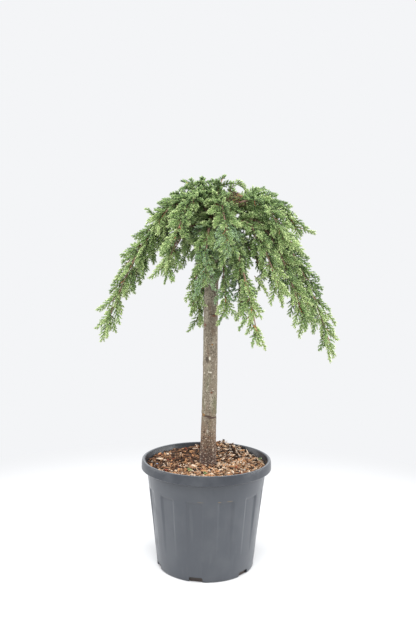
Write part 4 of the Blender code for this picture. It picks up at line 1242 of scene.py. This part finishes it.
class Growth:
    """Grows the shoots of one stem and keeps those that stay in its space."""

    def __init__(self, name, rng):
        self.name, self.rng = name, rng
        self.sprays, self.twigs, self.blades = [], [], []
        self.between = False  # in the second pass sprays may cross each other

    def fits(self, matrix):
        corners = [matrix @ corner for corner in BLADE[0]]
        points = corners + [(corners[a] + corners[b]) / 2 for a, b in BLADE[1]]
        room = SPACE_GAP
        if self.between:
            points = [matrix @ corner for corner in BLADE[0] if corner.z > OUTER_BLADE]
            room = -MINGLING
        apart = stems.nearest_other(points, self.name).min() > room
        return apart and limbs.clearance(points).min() > LIMB_GAP

    def crosses(self, matrix, size):
        """Whether a spray would cut through one that is already there, away from its root."""
        lift = matrix @ Matrix.Translation((0, 0, ROOT_FREE / size))
        blade = BVHTree.FromPolygons([lift @ corner for corner in BLADE[0]], BLADE[2])
        if any(blade.overlap(other) for other in self.blades):
            return True
        self.blades.append(blade)
        return False

    def spray(self, root, direction, across, length):
        matrix = facing(root, direction, across, (length,) * 3)
        if not self.fits(matrix):
            return False
        if not self.between and self.crosses(matrix, length):
            return False
        self.sprays.append((Vector(root), direction.normalized(), Vector(across), length))
        return True

    def shoot(self, root, tangent, around, reach, length):
        """One side shoot: a spray straight on the stem, or a twig that carries two or three."""
        for share, angle, twist in SHOOT_TRIES:
            angle = math.radians(angle + self.rng.uniform(-ANGLE_DRAW, ANGLE_DRAW))
            direction = tangent * math.cos(angle) + around * math.sin(angle)
            direction = (direction - Vector((0, 0, SHOOT_DROOP))).normalized()
            twist = math.radians(twist + self.rng.uniform(-TWIST_DRAW, TWIST_DRAW))
            across = Matrix.Rotation(twist, 3, direction) @ tangent
            twig = share * (reach - length)
            if twig < TWIG_LEAST:
                if self.spray(root, direction, across, share * min(reach, length)):
                    return
            elif self.spray(root + direction * (twig - SPRAY_SUNK), direction, across, share * length):
                self.twigs.append((root, root + direction * twig))
                normal = direction.cross(across).normalized()
                for way in (1, -1):
                    lift = normal * self.rng.uniform(*FORK_LIFTS) * way
                    aside = (direction + FORK_SPREAD * normal.cross(direction) * way + lift).normalized()
                    fork = root + direction * twig * (FORK_MIDDLE + FORK_APART * way)
                    self.spray(fork, aside, direction + lift, FORK_SIZE * share * length)
                return


def envelope(share):
    """How far the foliage stands out along a stem, as a share of its full width."""
    belly = (1 - BASE_WIDTH) * math.sin(math.pi * min(1.0, share / (2 * FULLEST)))
    return BASE_WIDTH + belly - TIP_NARROWING * max(0.0, share - FULLEST) / (1 - FULLEST)


def grown(name, line, growing):
    """All sprays and twigs of one mass, by the frame's own draws."""
    _, width, length, step, all_round = growing
    rng = random.Random(f"{SEED} {name}")
    growth = Growth(name, rng)
    total = length_of(line)
    stop = 1 - STEM_STOP * length / total
    end = Vector(points_at(line, [stop])[0])
    run = Vector(line[-1]) - end
    way = run.normalized()
    growth.spray(end - way * SPRAY_SUNK, way, run.cross(TIP_FACES), run.length + SPRAY_SUNK)
    count = round(total * stop / step)
    for index in range(count):
        share = (index + 0.6) / count
        here, ahead = points_at(line, (share * stop, share * stop + 0.02))
        tangent = Vector(ahead - here).normalized()
        side = tangent.cross((0, 0, 1)).normalized()
        out = side.cross(tangent)
        turn = rng.uniform(*SHOOT_ROLLS)
        sideways = turn if index % 2 else 180 - turn
        roll = math.radians(index * GOLDEN_ANGLE if all_round else sideways)
        around = side * math.cos(roll) + out * math.sin(roll)
        size = length * rng.uniform(*SHOOT_SIZES) * (1 - SHOOT_SHORTENING * share)
        growth.shoot(Vector(here), tangent, around, width * envelope(share), size)
    return growth, stop


growths = {name: grown(name, line, growing) for name, (line, growing) in masses.items()}
print("rule:", sum(len(growth.sprays) for growth, _ in growths.values()), "sprays")

# %% Sprays between them
BETWEEN_STEP = 0.0105  # along a stem from one shoot of the second pass to the next
BETWEEN_CROWDING = 1.15  # above 1 the second pass is denser near the crest than near the tip
BETWEEN_END = 0.91  # share of a stem at which the second pass ends
BETWEEN_SIZE = (0.62, 0.88)  # of the mass's own spray
BETWEEN_REACH = (0.35, 0.95)  # of the mass's own reach
CAP_BETWEEN_STEP = 0.0060  # the same on the short stems of the caps
BOUGH_STEP = 0.0065  # along the outer part of a bough, which bears short shoots
BOUGH_SIZE = (0.45, 0.70)
BARE_SHARE = 0.15  # of a bough, counted from the trunk, that bears none


def grow_between(line, growing, growth, step, sizes):
    """Smaller sprays between the first ones, which may lie across each other."""
    _, width, length, _, _ = growing
    rng = growth.rng
    count = round(length_of(line) / step)
    for index in range(count):
        share = BETWEEN_END * ((index + rng.random()) / count) ** BETWEEN_CROWDING
        here, ahead = points_at(line, (share, share + 0.02))
        tangent = Vector(ahead - here).normalized()
        side = tangent.cross((0, 0, 1)).normalized()
        out = side.cross(tangent)
        roll = math.radians(index * GOLDEN_ANGLE + 70)
        around = side * math.cos(roll) + out * math.sin(roll)
        size = length * rng.uniform(*sizes)
        reach = max(size, width * envelope(share) * rng.uniform(*BETWEEN_REACH))
        growth.shoot(Vector(here), tangent, around, reach, size)


for name, (line, growing) in masses.items():
    growth = growths[name][0]
    growth.rng, growth.between = random.Random(f"{SEED} {name} between"), True
    grow_between(line, growing, growth, CAP_BETWEEN_STEP if name in CAPS else BETWEEN_STEP, BETWEEN_SIZE)
    if name in ARMS:
        azimuth, root, crest, tip, growing = ARMS[name]
        whole, crest_share = arm_line(azimuth, root, crest, tip)
        entry = growing[0] or crest_share
        bough = points_at(whole, np.linspace(BARE_SHARE * entry, entry, 30))
        grow_between(bough, growing, growth, BOUGH_STEP, BOUGH_SIZE)
print("with those between:", sum(len(growth.sprays) for growth, _ in growths.values()), "sprays")

# %% [markdown]
# From a spray to its fronds.
#
# A real spray of this juniper is a flat frond: a bent axis with plump side shoots to alternate
# hands, longest near its middle. Each side shoot is clothed in short awl-shaped needles, three to
# a whorl, that lean towards its tip. Shoots are kept as curves with three points, which is enough
# to bend them, and both the twigs and the needles are then made from these curves at once.

# %% Fronds
SHOOT_SPACING = 0.0050  # along a frond's axis from one side shoot to the next, on the other hand
TONES = ("deep", "mid", "fresh", "lime", "blue", "frost", "dead", "withered")
DEEP, MID, FRESH, LIME, BLUE, FROST, DEAD, WITHERED = range(len(TONES))
LIGHTER = np.array([MID, FRESH, LIME, LIME, FROST, FROST, DEAD, WITHERED])
DARKER = np.array([DEEP, DEEP, MID, FRESH, DEEP, BLUE, WITHERED, WITHERED])


class Shoots:
    """Side shoots as arrays: three points each, with the tone and length of their needles."""

    def __init__(self):
        self.curves, self.tones, self.needles = [], [], []

    def add(self, a, b, c, tone, needle):
        self.curves.append((a, b, c))
        self.tones.append(tone)
        self.needles.append(needle)


def tone_at(place, share, rng):
    """The tone of a frond by its place in the crown and its share of the way to the tip."""
    front_blue = -place.y > 0.04 and 0.72 < place.z < 0.90 and abs(place.x - 0.02) < 0.055
    draw = rng.random()
    if sum(((a - b) / c) ** 2 for a, b, c in zip(place, DEAD_MIDDLE, DEAD_SIZE)) < 1:
        return WITHERED if draw < 0.70 else DEAD if draw < 0.82 else DEEP
    if front_blue and draw < 0.50:
        return BLUE if draw < 0.36 else FROST
    if share > 0.90:
        return FRESH if draw > 0.4 else LIME
    if share > 0.55:
        return MID if draw > 0.58 else FRESH
    # High in the crown the deep share is larger: painted shade on the crown's top.
    return DEEP if draw < (0.84 if place.z > TOP_SHADE_HEIGHT else 0.38) else MID


CROWN_MIDDLE = Vector((0.0, 0.0, 0.78))
LIFTS = (-0.45, 1.15)  # how far side shoots leave the frond's plane, mostly to its outer side
UP = Vector((0.0, 0.0, 1.0))
FROND_DROOP = 0.06  # share of its length by which any frond's tip hangs
CURL_DROOP = 0.20  # what it hangs more where it points up
FROND_CURL = 0.35  # how far such a frond curls sideways
CREST_TOP = 1.026  # height at which the highest fronds bend over
CREST_UNEVEN = 0.014
SHOOTS_LEAST = 5
SHOOT_LENGTHS = (0.37, 0.14)  # of the frond's length, at its root and at its tip
SHOOT_ANGLES = (54, 34)  # degrees from the axis, at its root and at its tip
# Fronds that stand out by themselves, such as the one that arches freely over the top at the right:
# their mass, root, bend and tip, their length, the spread of their side shoots and their tone.
LONE_FRONDS = (
    ("top_right", (0.049, -0.030, 0.985), (0.073, -0.038, 1.041), (0.102, -0.042, 0.975), 0.095, 0.33, FRESH),
    ("dome_left_rear", (-0.130, -0.005, 0.914), (-0.150, -0.008, 0.927), (-0.167, -0.010, 0.944), 0.045, 0.95, MID),
    ("front_left", (-0.050, -0.020, 0.850), (-0.062, -0.030, 0.818), (-0.074, -0.020, 0.786), 0.068, 1.00, MID),
    ("left", (-0.203, -0.012, 0.811), (-0.228, -0.014, 0.789), (-0.246, -0.015, 0.755), 0.066, 0.45, FRESH),
    ("front_right", (0.107, -0.186, 0.653), (0.125, -0.190, 0.629), (0.137, -0.190, 0.594), 0.062, 0.50, LIME),
    ("front_right", (0.086, -0.172, 0.750), (0.108, -0.185, 0.718), (0.126, -0.185, 0.667), 0.086, 0.45, FRESH),
    ("front_right", (0.095, -0.184, 0.672), (0.084, -0.186, 0.664), (0.071, -0.186, 0.640), 0.042, 0.70, MID),
    ("right_middle", (0.112, -0.118, 0.770), (0.134, -0.122, 0.752), (0.147, -0.122, 0.719), 0.058, 0.42, LIME),
    ("right", (0.306, -0.008, 0.618), (0.320, -0.012, 0.586), (0.323, -0.012, 0.544), 0.074, 0.42, LIME),
    ("right", (0.305, -0.008, 0.676), (0.325, -0.010, 0.670), (0.337, -0.010, 0.642), 0.048, 0.60, FRESH),
)
# A patch of needles is dead there: its middle and half its size.
DEAD_MIDDLE = Vector((0.068, -0.075, 0.957))
DEAD_SIZE = (0.027, 0.080, 0.016)
# Painted shade: above this height more sprays are deep green, to darken the crown's top.
TOP_SHADE_HEIGHT = 0.950  # height above which more of the sprays are deep green
NEEDLE_LENGTH = 0.0066
AXIS_NEEDLE_LENGTH = 0.0058


# Where the sky shows through the crown: a straight way from front to back, and half its width.
OPENINGS = (
    (Vector((0.080, -0.100, 0.996)), Vector((0.090, 0.100, 1.024)), 0.0245),
    (Vector((0.100, -0.200, 0.770)), Vector((0.129, 0.250, 0.773)), 0.018),
    (Vector((-0.076, -0.150, 0.836)), Vector((-0.093, 0.200, 0.853)), 0.014),
    (Vector((0.120, -0.230, 0.651)), Vector((0.126, -0.150, 0.645)), 0.012),
    (Vector((0.343, -0.050, 0.584)), Vector((0.353, 0.050, 0.578)), 0.015),
    (Vector((0.156, -0.120, 0.712)), Vector((0.168, 0.000, 0.708)), 0.011),
    (Vector((-0.053, -0.050, 0.779)), Vector((-0.056, 0.050, 0.779)), 0.012),
)


def in_opening(place):
    """Whether a place lies in one of the crown's openings."""
    for start, end, half in OPENINGS:
        way = end - start
        share = (place - start).dot(way) / way.dot(way)
        if (start + way * share - place).length < half:
            return True
    return False


def on_curve(curve, share):
    """The point and direction of a three-point curve at a share of its way."""
    root, bend, tip = curve
    place = root * (1 - share) ** 2 + bend * 2 * share * (1 - share) + tip * share**2
    return place, ((bend - root) * (1 - share) + (tip - bend) * share).normalized()


def side_shoots(shoots, curve, normal, length, tone, rng, spread=1.0):
    """Bends plump side shoots to alternate hands along a frond's axis."""
    outer = 1 if normal.dot(curve[0] - CROWN_MIDDLE) > 0 else -1
    shoots.add(*(on_curve(curve, share)[0] for share in (0.30, 0.65, 1.0)), tone, AXIS_NEEDLE_LENGTH)
    count = max(SHOOTS_LEAST, round(length * 0.92 / SHOOT_SPACING))
    for index in range(count):
        along = 0.05 + 0.87 * (index + rng.uniform(-0.2, 0.2) + 0.5) / count
        here, direction = on_curve(curve, along)
        aside = normal.cross(direction) * (1 if index % 2 else -1)
        size = length * (SHOOT_LENGTHS[0] + (SHOOT_LENGTHS[1] - SHOOT_LENGTHS[0]) * along) * rng.uniform(0.82, 1.14)
        size *= spread
        angle = math.radians(SHOOT_ANGLES[0] + (SHOOT_ANGLES[1] - SHOOT_ANGLES[0]) * along + rng.uniform(-9, 9))
        lift = normal * rng.uniform(*LIFTS) * outer
        way = direction * math.cos(angle) + (aside + lift).normalized() * math.sin(angle)
        end = here + (way * 0.86 + direction * 0.16 - Vector((0, 0, 0.05))) * size
        draw = rng.random()
        shade = LIGHTER[tone] if draw < 0.16 + 0.45 * along else tone
        shade = DARKER[tone] if draw > 0.55 + 0.6 * along else shade
        shoots.add(here, here + way * size * 0.5, end, int(shade), NEEDLE_LENGTH)


def frond(shoots, axes, root, direction, across, length, share, rng):
    """Grows one spray finer: a bent axis with side shoots on both hands."""
    normal = direction.cross(across).normalized()
    droop = FROND_DROOP + CURL_DROOP * max(0.0, direction.z)
    curl = normal.cross(direction) * rng.uniform(-1, 1) * FROND_CURL * max(0.0, direction.z)
    tip = root + (direction + curl) * length - UP * droop * length
    tip.z = min(tip.z, CREST_TOP - rng.random() * CREST_UNEVEN)
    bend = (root + tip) / 2 + (normal * rng.uniform(-0.06, 0.06) + UP * (droop - 0.01)) * length
    if in_opening((root + tip) / 2) or in_opening(tip):
        return
    tone = tone_at(root + direction * length / 2, share, rng)
    axes.append((root, bend, tip))
    side_shoots(shoots, (root, bend, tip), normal, length, tone, rng)


# %% Needles from curves
WHORL_SPACING = 0.0036
NEEDLE_WIDTH = 0.0028
NEEDLE_BELLY = 0.36  # share of a needle's length at which it is widest
NEEDLE_KEEL = 0.0005
NEEDLE_SPREAD = (56, 18)  # degrees from the shoot, at its root and at its tip
PALE_FROM = 0.55  # share of a side shoot past which its needles are a tone lighter


def unit(vectors):
    return vectors / np.maximum(np.linalg.norm(vectors, axis=-1, keepdims=True), 1e-9)


def needles(shoots, rng):
    """Awl-shaped needles in whorls of three along every shoot, as corners, triangles and tones."""
    a, b, c = (np.array(part, float) for part in zip(*shoots.curves))
    lengths = np.linalg.norm(c - a, axis=1)
    whorls = np.maximum(3, np.round(lengths / WHORL_SPACING).astype(int))
    owner = np.repeat(np.arange(len(whorls)), whorls)
    index = np.arange(whorls.sum()) - np.repeat(np.cumsum(whorls) - whorls, whorls)
    t = ((index + 0.5) / whorls[owner])[:, None]
    place = (1 - t) ** 2 * a[owner] + 2 * t * (1 - t) * b[owner] + t**2 * c[owner]
    along = unit((1 - t) * (b - a)[owner] + t * (c - b)[owner])
    side = unit(np.cross(along, (0.31, 0.22, 0.93)))
    over = np.cross(side, along)
    turn = index * (math.pi / 3) + rng.uniform(0, TAU, len(whorls))[owner]
    angle = turn[:, None] + np.arange(3) * (TAU / 3) + rng.uniform(-0.35, 0.35, (len(turn), 3))
    out = side[:, None] * np.cos(angle)[..., None] + over[:, None] * np.sin(angle)[..., None]
    spread = NEEDLE_SPREAD[0] + (NEEDLE_SPREAD[1] - NEEDLE_SPREAD[0]) * t
    spread = np.radians(spread + rng.uniform(-9, 9, (len(turn), 3)))[..., None]
    way = along[:, None] * np.cos(spread) + out * np.sin(spread)
    flat = unit(np.cross(along[:, None], out))
    keel = np.cross(flat, way)
    size = np.array(shoots.needles)[owner] * (1.0 - 0.30 * t[:, 0])
    size = (size[:, None] * rng.uniform(0.85, 1.15, (len(turn), 3)))[..., None]
    root = place[:, None] + out * 0.0003
    belly = root + way * size * NEEDLE_BELLY + keel * NEEDLE_KEEL
    half = flat * NEEDLE_WIDTH / 2
    corners = np.stack([root, belly + half, belly - half, root + way * size], axis=2).reshape(-1, 3)
    pattern = np.array([[0, 1, 2], [1, 3, 2], [0, 3, 1], [0, 2, 3]])
    count = len(corners) // 4
    triangles = (pattern[None] + 4 * np.arange(count)[:, None, None]).reshape(-1, 3)
    own = np.array(shoots.tones)[owner]
    tones = np.where(t[:, 0] > PALE_FROM, LIGHTER[own], own)
    return corners, triangles, np.repeat(tones, 3 * len(pattern))


# %% Twigs from curves


def tubes(points, radii, sides):
    """Tapering tubes along many lines of as many points each, closed at both ends."""
    points, radii = np.array(points, float), np.array(radii, float)
    count, rings = points.shape[:2]
    along = unit(np.gradient(points, axis=1))
    side = unit(np.cross(along, (0.31, 0.22, 0.93)))
    over = np.cross(side, along)
    angle = np.arange(sides) * (TAU / sides)
    round_it = side[:, :, None] * np.cos(angle)[:, None] + over[:, :, None] * np.sin(angle)[:, None]
    corners = points[:, :, None] + round_it * radii[:, :, None, None]
    pattern = []
    for ring in range(rings - 1):
        for index in range(sides):
            here, beside = ring * sides + index, ring * sides + (index + 1) % sides
            pattern += [(here, here + sides, beside), (beside, here + sides, beside + sides)]
    last = (rings - 1) * sides
    for index in range(1, sides - 1):
        pattern += [(0, index, index + 1), (last, last + index + 1, last + index)]
    starts = rings * sides * np.arange(count)[:, None, None]
    return corners.reshape(-1, 3), (np.array(pattern)[None] + starts).reshape(-1, 3)


def bent(curves, count):
    """Points along many three-point curves at once."""
    a, b, c = (np.array(part, float)[:, None] for part in zip(*curves))
    t = np.linspace(0.0, 1.0, count)[None, :, None]
    return (1 - t) ** 2 * a + 2 * t * (1 - t) * b + t**2 * c


# %% [markdown]
# Clothing the crown.
#
# For each mass the sprays become fronds, and two meshes are joined from them: its twigs and its
# needles. Colour is dealt out by spray, not painted on as a texture: a few plain materials, from
# deep green inside to lime at the tips, with blue-green sprays at the front and red-brown young
# twigs. High in the crown more sprays are deep green, and the caps' tips get no lighter tones:
# that is painted shade.

# %% Colours of the crown
NEEDLE_GREENS = {
    "deep": (0.058, 0.104, 0.042),
    "mid": (0.220, 0.335, 0.124),
    "fresh": (0.430, 0.560, 0.235),
    "lime": (0.590, 0.710, 0.320),
    "blue": (0.200, 0.335, 0.185),
    "frost": (0.375, 0.520, 0.315),
    "dead": (0.430, 0.210, 0.110),
    "withered": (0.070, 0.026, 0.018),
}
TWIG_COLOURS = {
    "grey": (0.230, 0.150, 0.105),
    "brown": (0.170, 0.105, 0.055),
    "red": (0.430, 0.155, 0.070),
    "green": (0.190, 0.290, 0.090),
}
GREY, BROWN, RED, GREEN = range(4)
needle_finishes = [new_finish(f"needles_{tone}", NEEDLE_GREENS[tone], 0.42, 0.45) for tone in TONES]
twig_finishes = [new_finish(f"twigs_{name}", colour, 0.7, 0.3) for name, colour in TWIG_COLOURS.items()]

# %% Clothe every mass
stem_rings = 24
for number, (name, (line, growing)) in enumerate(masses.items()):
    growth, stop = growths[name]
    draw = random.Random(f"{SEED} {name} fronds")
    shoots, axes = Shoots(), []
    foot = Vector(line[0])
    for root, direction, across, length in growth.sprays:
        # A cap counts as at most half way out, so its tips take no lighter tones: painted shade on the crown's top.
        share = min(1.0, (root - foot).length / length_of(line)) * (0.5 if name in CAPS else 1.0)
        frond(shoots, axes, root, direction, across, length, share, draw)
    for mass, root, bend, tip, length, spread, tone in LONE_FRONDS:
        if mass == name:
            curve = (Vector(root), Vector(bend), Vector(tip))
            axes.append(curve)
            side_shoots(shoots, curve, Vector((0.0, -1.0, 0.0)), length, tone, draw, spread)
    stem_shares = np.linspace(0.0, stop, stem_rings)
    stem_radii = BOUGH_TIP_RADIUS + (STEM_TIP_RADIUS - BOUGH_TIP_RADIUS) * stem_shares / stop
    parts = [(*tubes([points_at(line, stem_shares)], [stem_radii], 7), GREY)]
    if growth.twigs:
        ends = [[a, (a + b) / 2, b] for a, b in growth.twigs]
        radii = [[TWIG_RADIUS, (TWIG_RADIUS + TWIG_TIP_RADIUS) / 2, TWIG_TIP_RADIUS]] * len(ends)
        parts.append((*tubes(ends, radii, 5), BROWN))
    reds = [axis for index, axis in enumerate(axes) if index % 5 == 0]
    browns = [axis for index, axis in enumerate(axes) if index % 5]
    for some, tone in ((reds, RED), (browns, BROWN)):
        if some:
            parts.append((*tubes(bent(some, 5), [np.linspace(0.0012, 0.0005, 5)] * len(some), 4), tone))
    parts.append((*tubes(bent(shoots.curves, 3), [(0.0012, 0.0019, 0.0007)] * len(shoots.curves), 3), GREEN))
    parts = [(corners, triangles, np.full(len(triangles), tone)) for corners, triangles, tone in parts]
    shown(joined(f"twigs_{name}", parts, twig_finishes), "twig_bark")
    clothed = joined(f"needles_{name}", [needles(shoots, np.random.default_rng([SEED, number]))], needle_finishes)
    shown(clothed, "needles", f"foliage_{name}")

# %% Sprigs on the mulch
# Green shoots that fell on the mulch: where one starts, and the way and length it goes.
SPRIGS = (
    (Vector((-0.048, -0.078, 0.275)), Vector((0.008, -0.015, 0.000))),
    (Vector((-0.006, -0.110, 0.275)), Vector((0.005, -0.011, 0.001))),
    (Vector((0.140, 0.026, 0.270)), Vector((0.009, 0.003, 0.005))),
)
SPRIG_NEEDLE = 0.0038

sprigs = Shoots()
for start, way in SPRIGS:
    for fork, tone in ((0.0, DEEP), (0.25, MID), (-0.25, MID)):
        aside = Vector((-way.y, way.x, 0.0)) * fork
        sprigs.add(start, start + way * 0.5 + Vector((0.0, 0.0, 0.002)), start + way + aside, tone, SPRIG_NEEDLE)
sprigs_needles = needles(sprigs, np.random.default_rng(SEED))
shown(joined("fallen_sprigs", [sprigs_needles], needle_finishes), "needles")
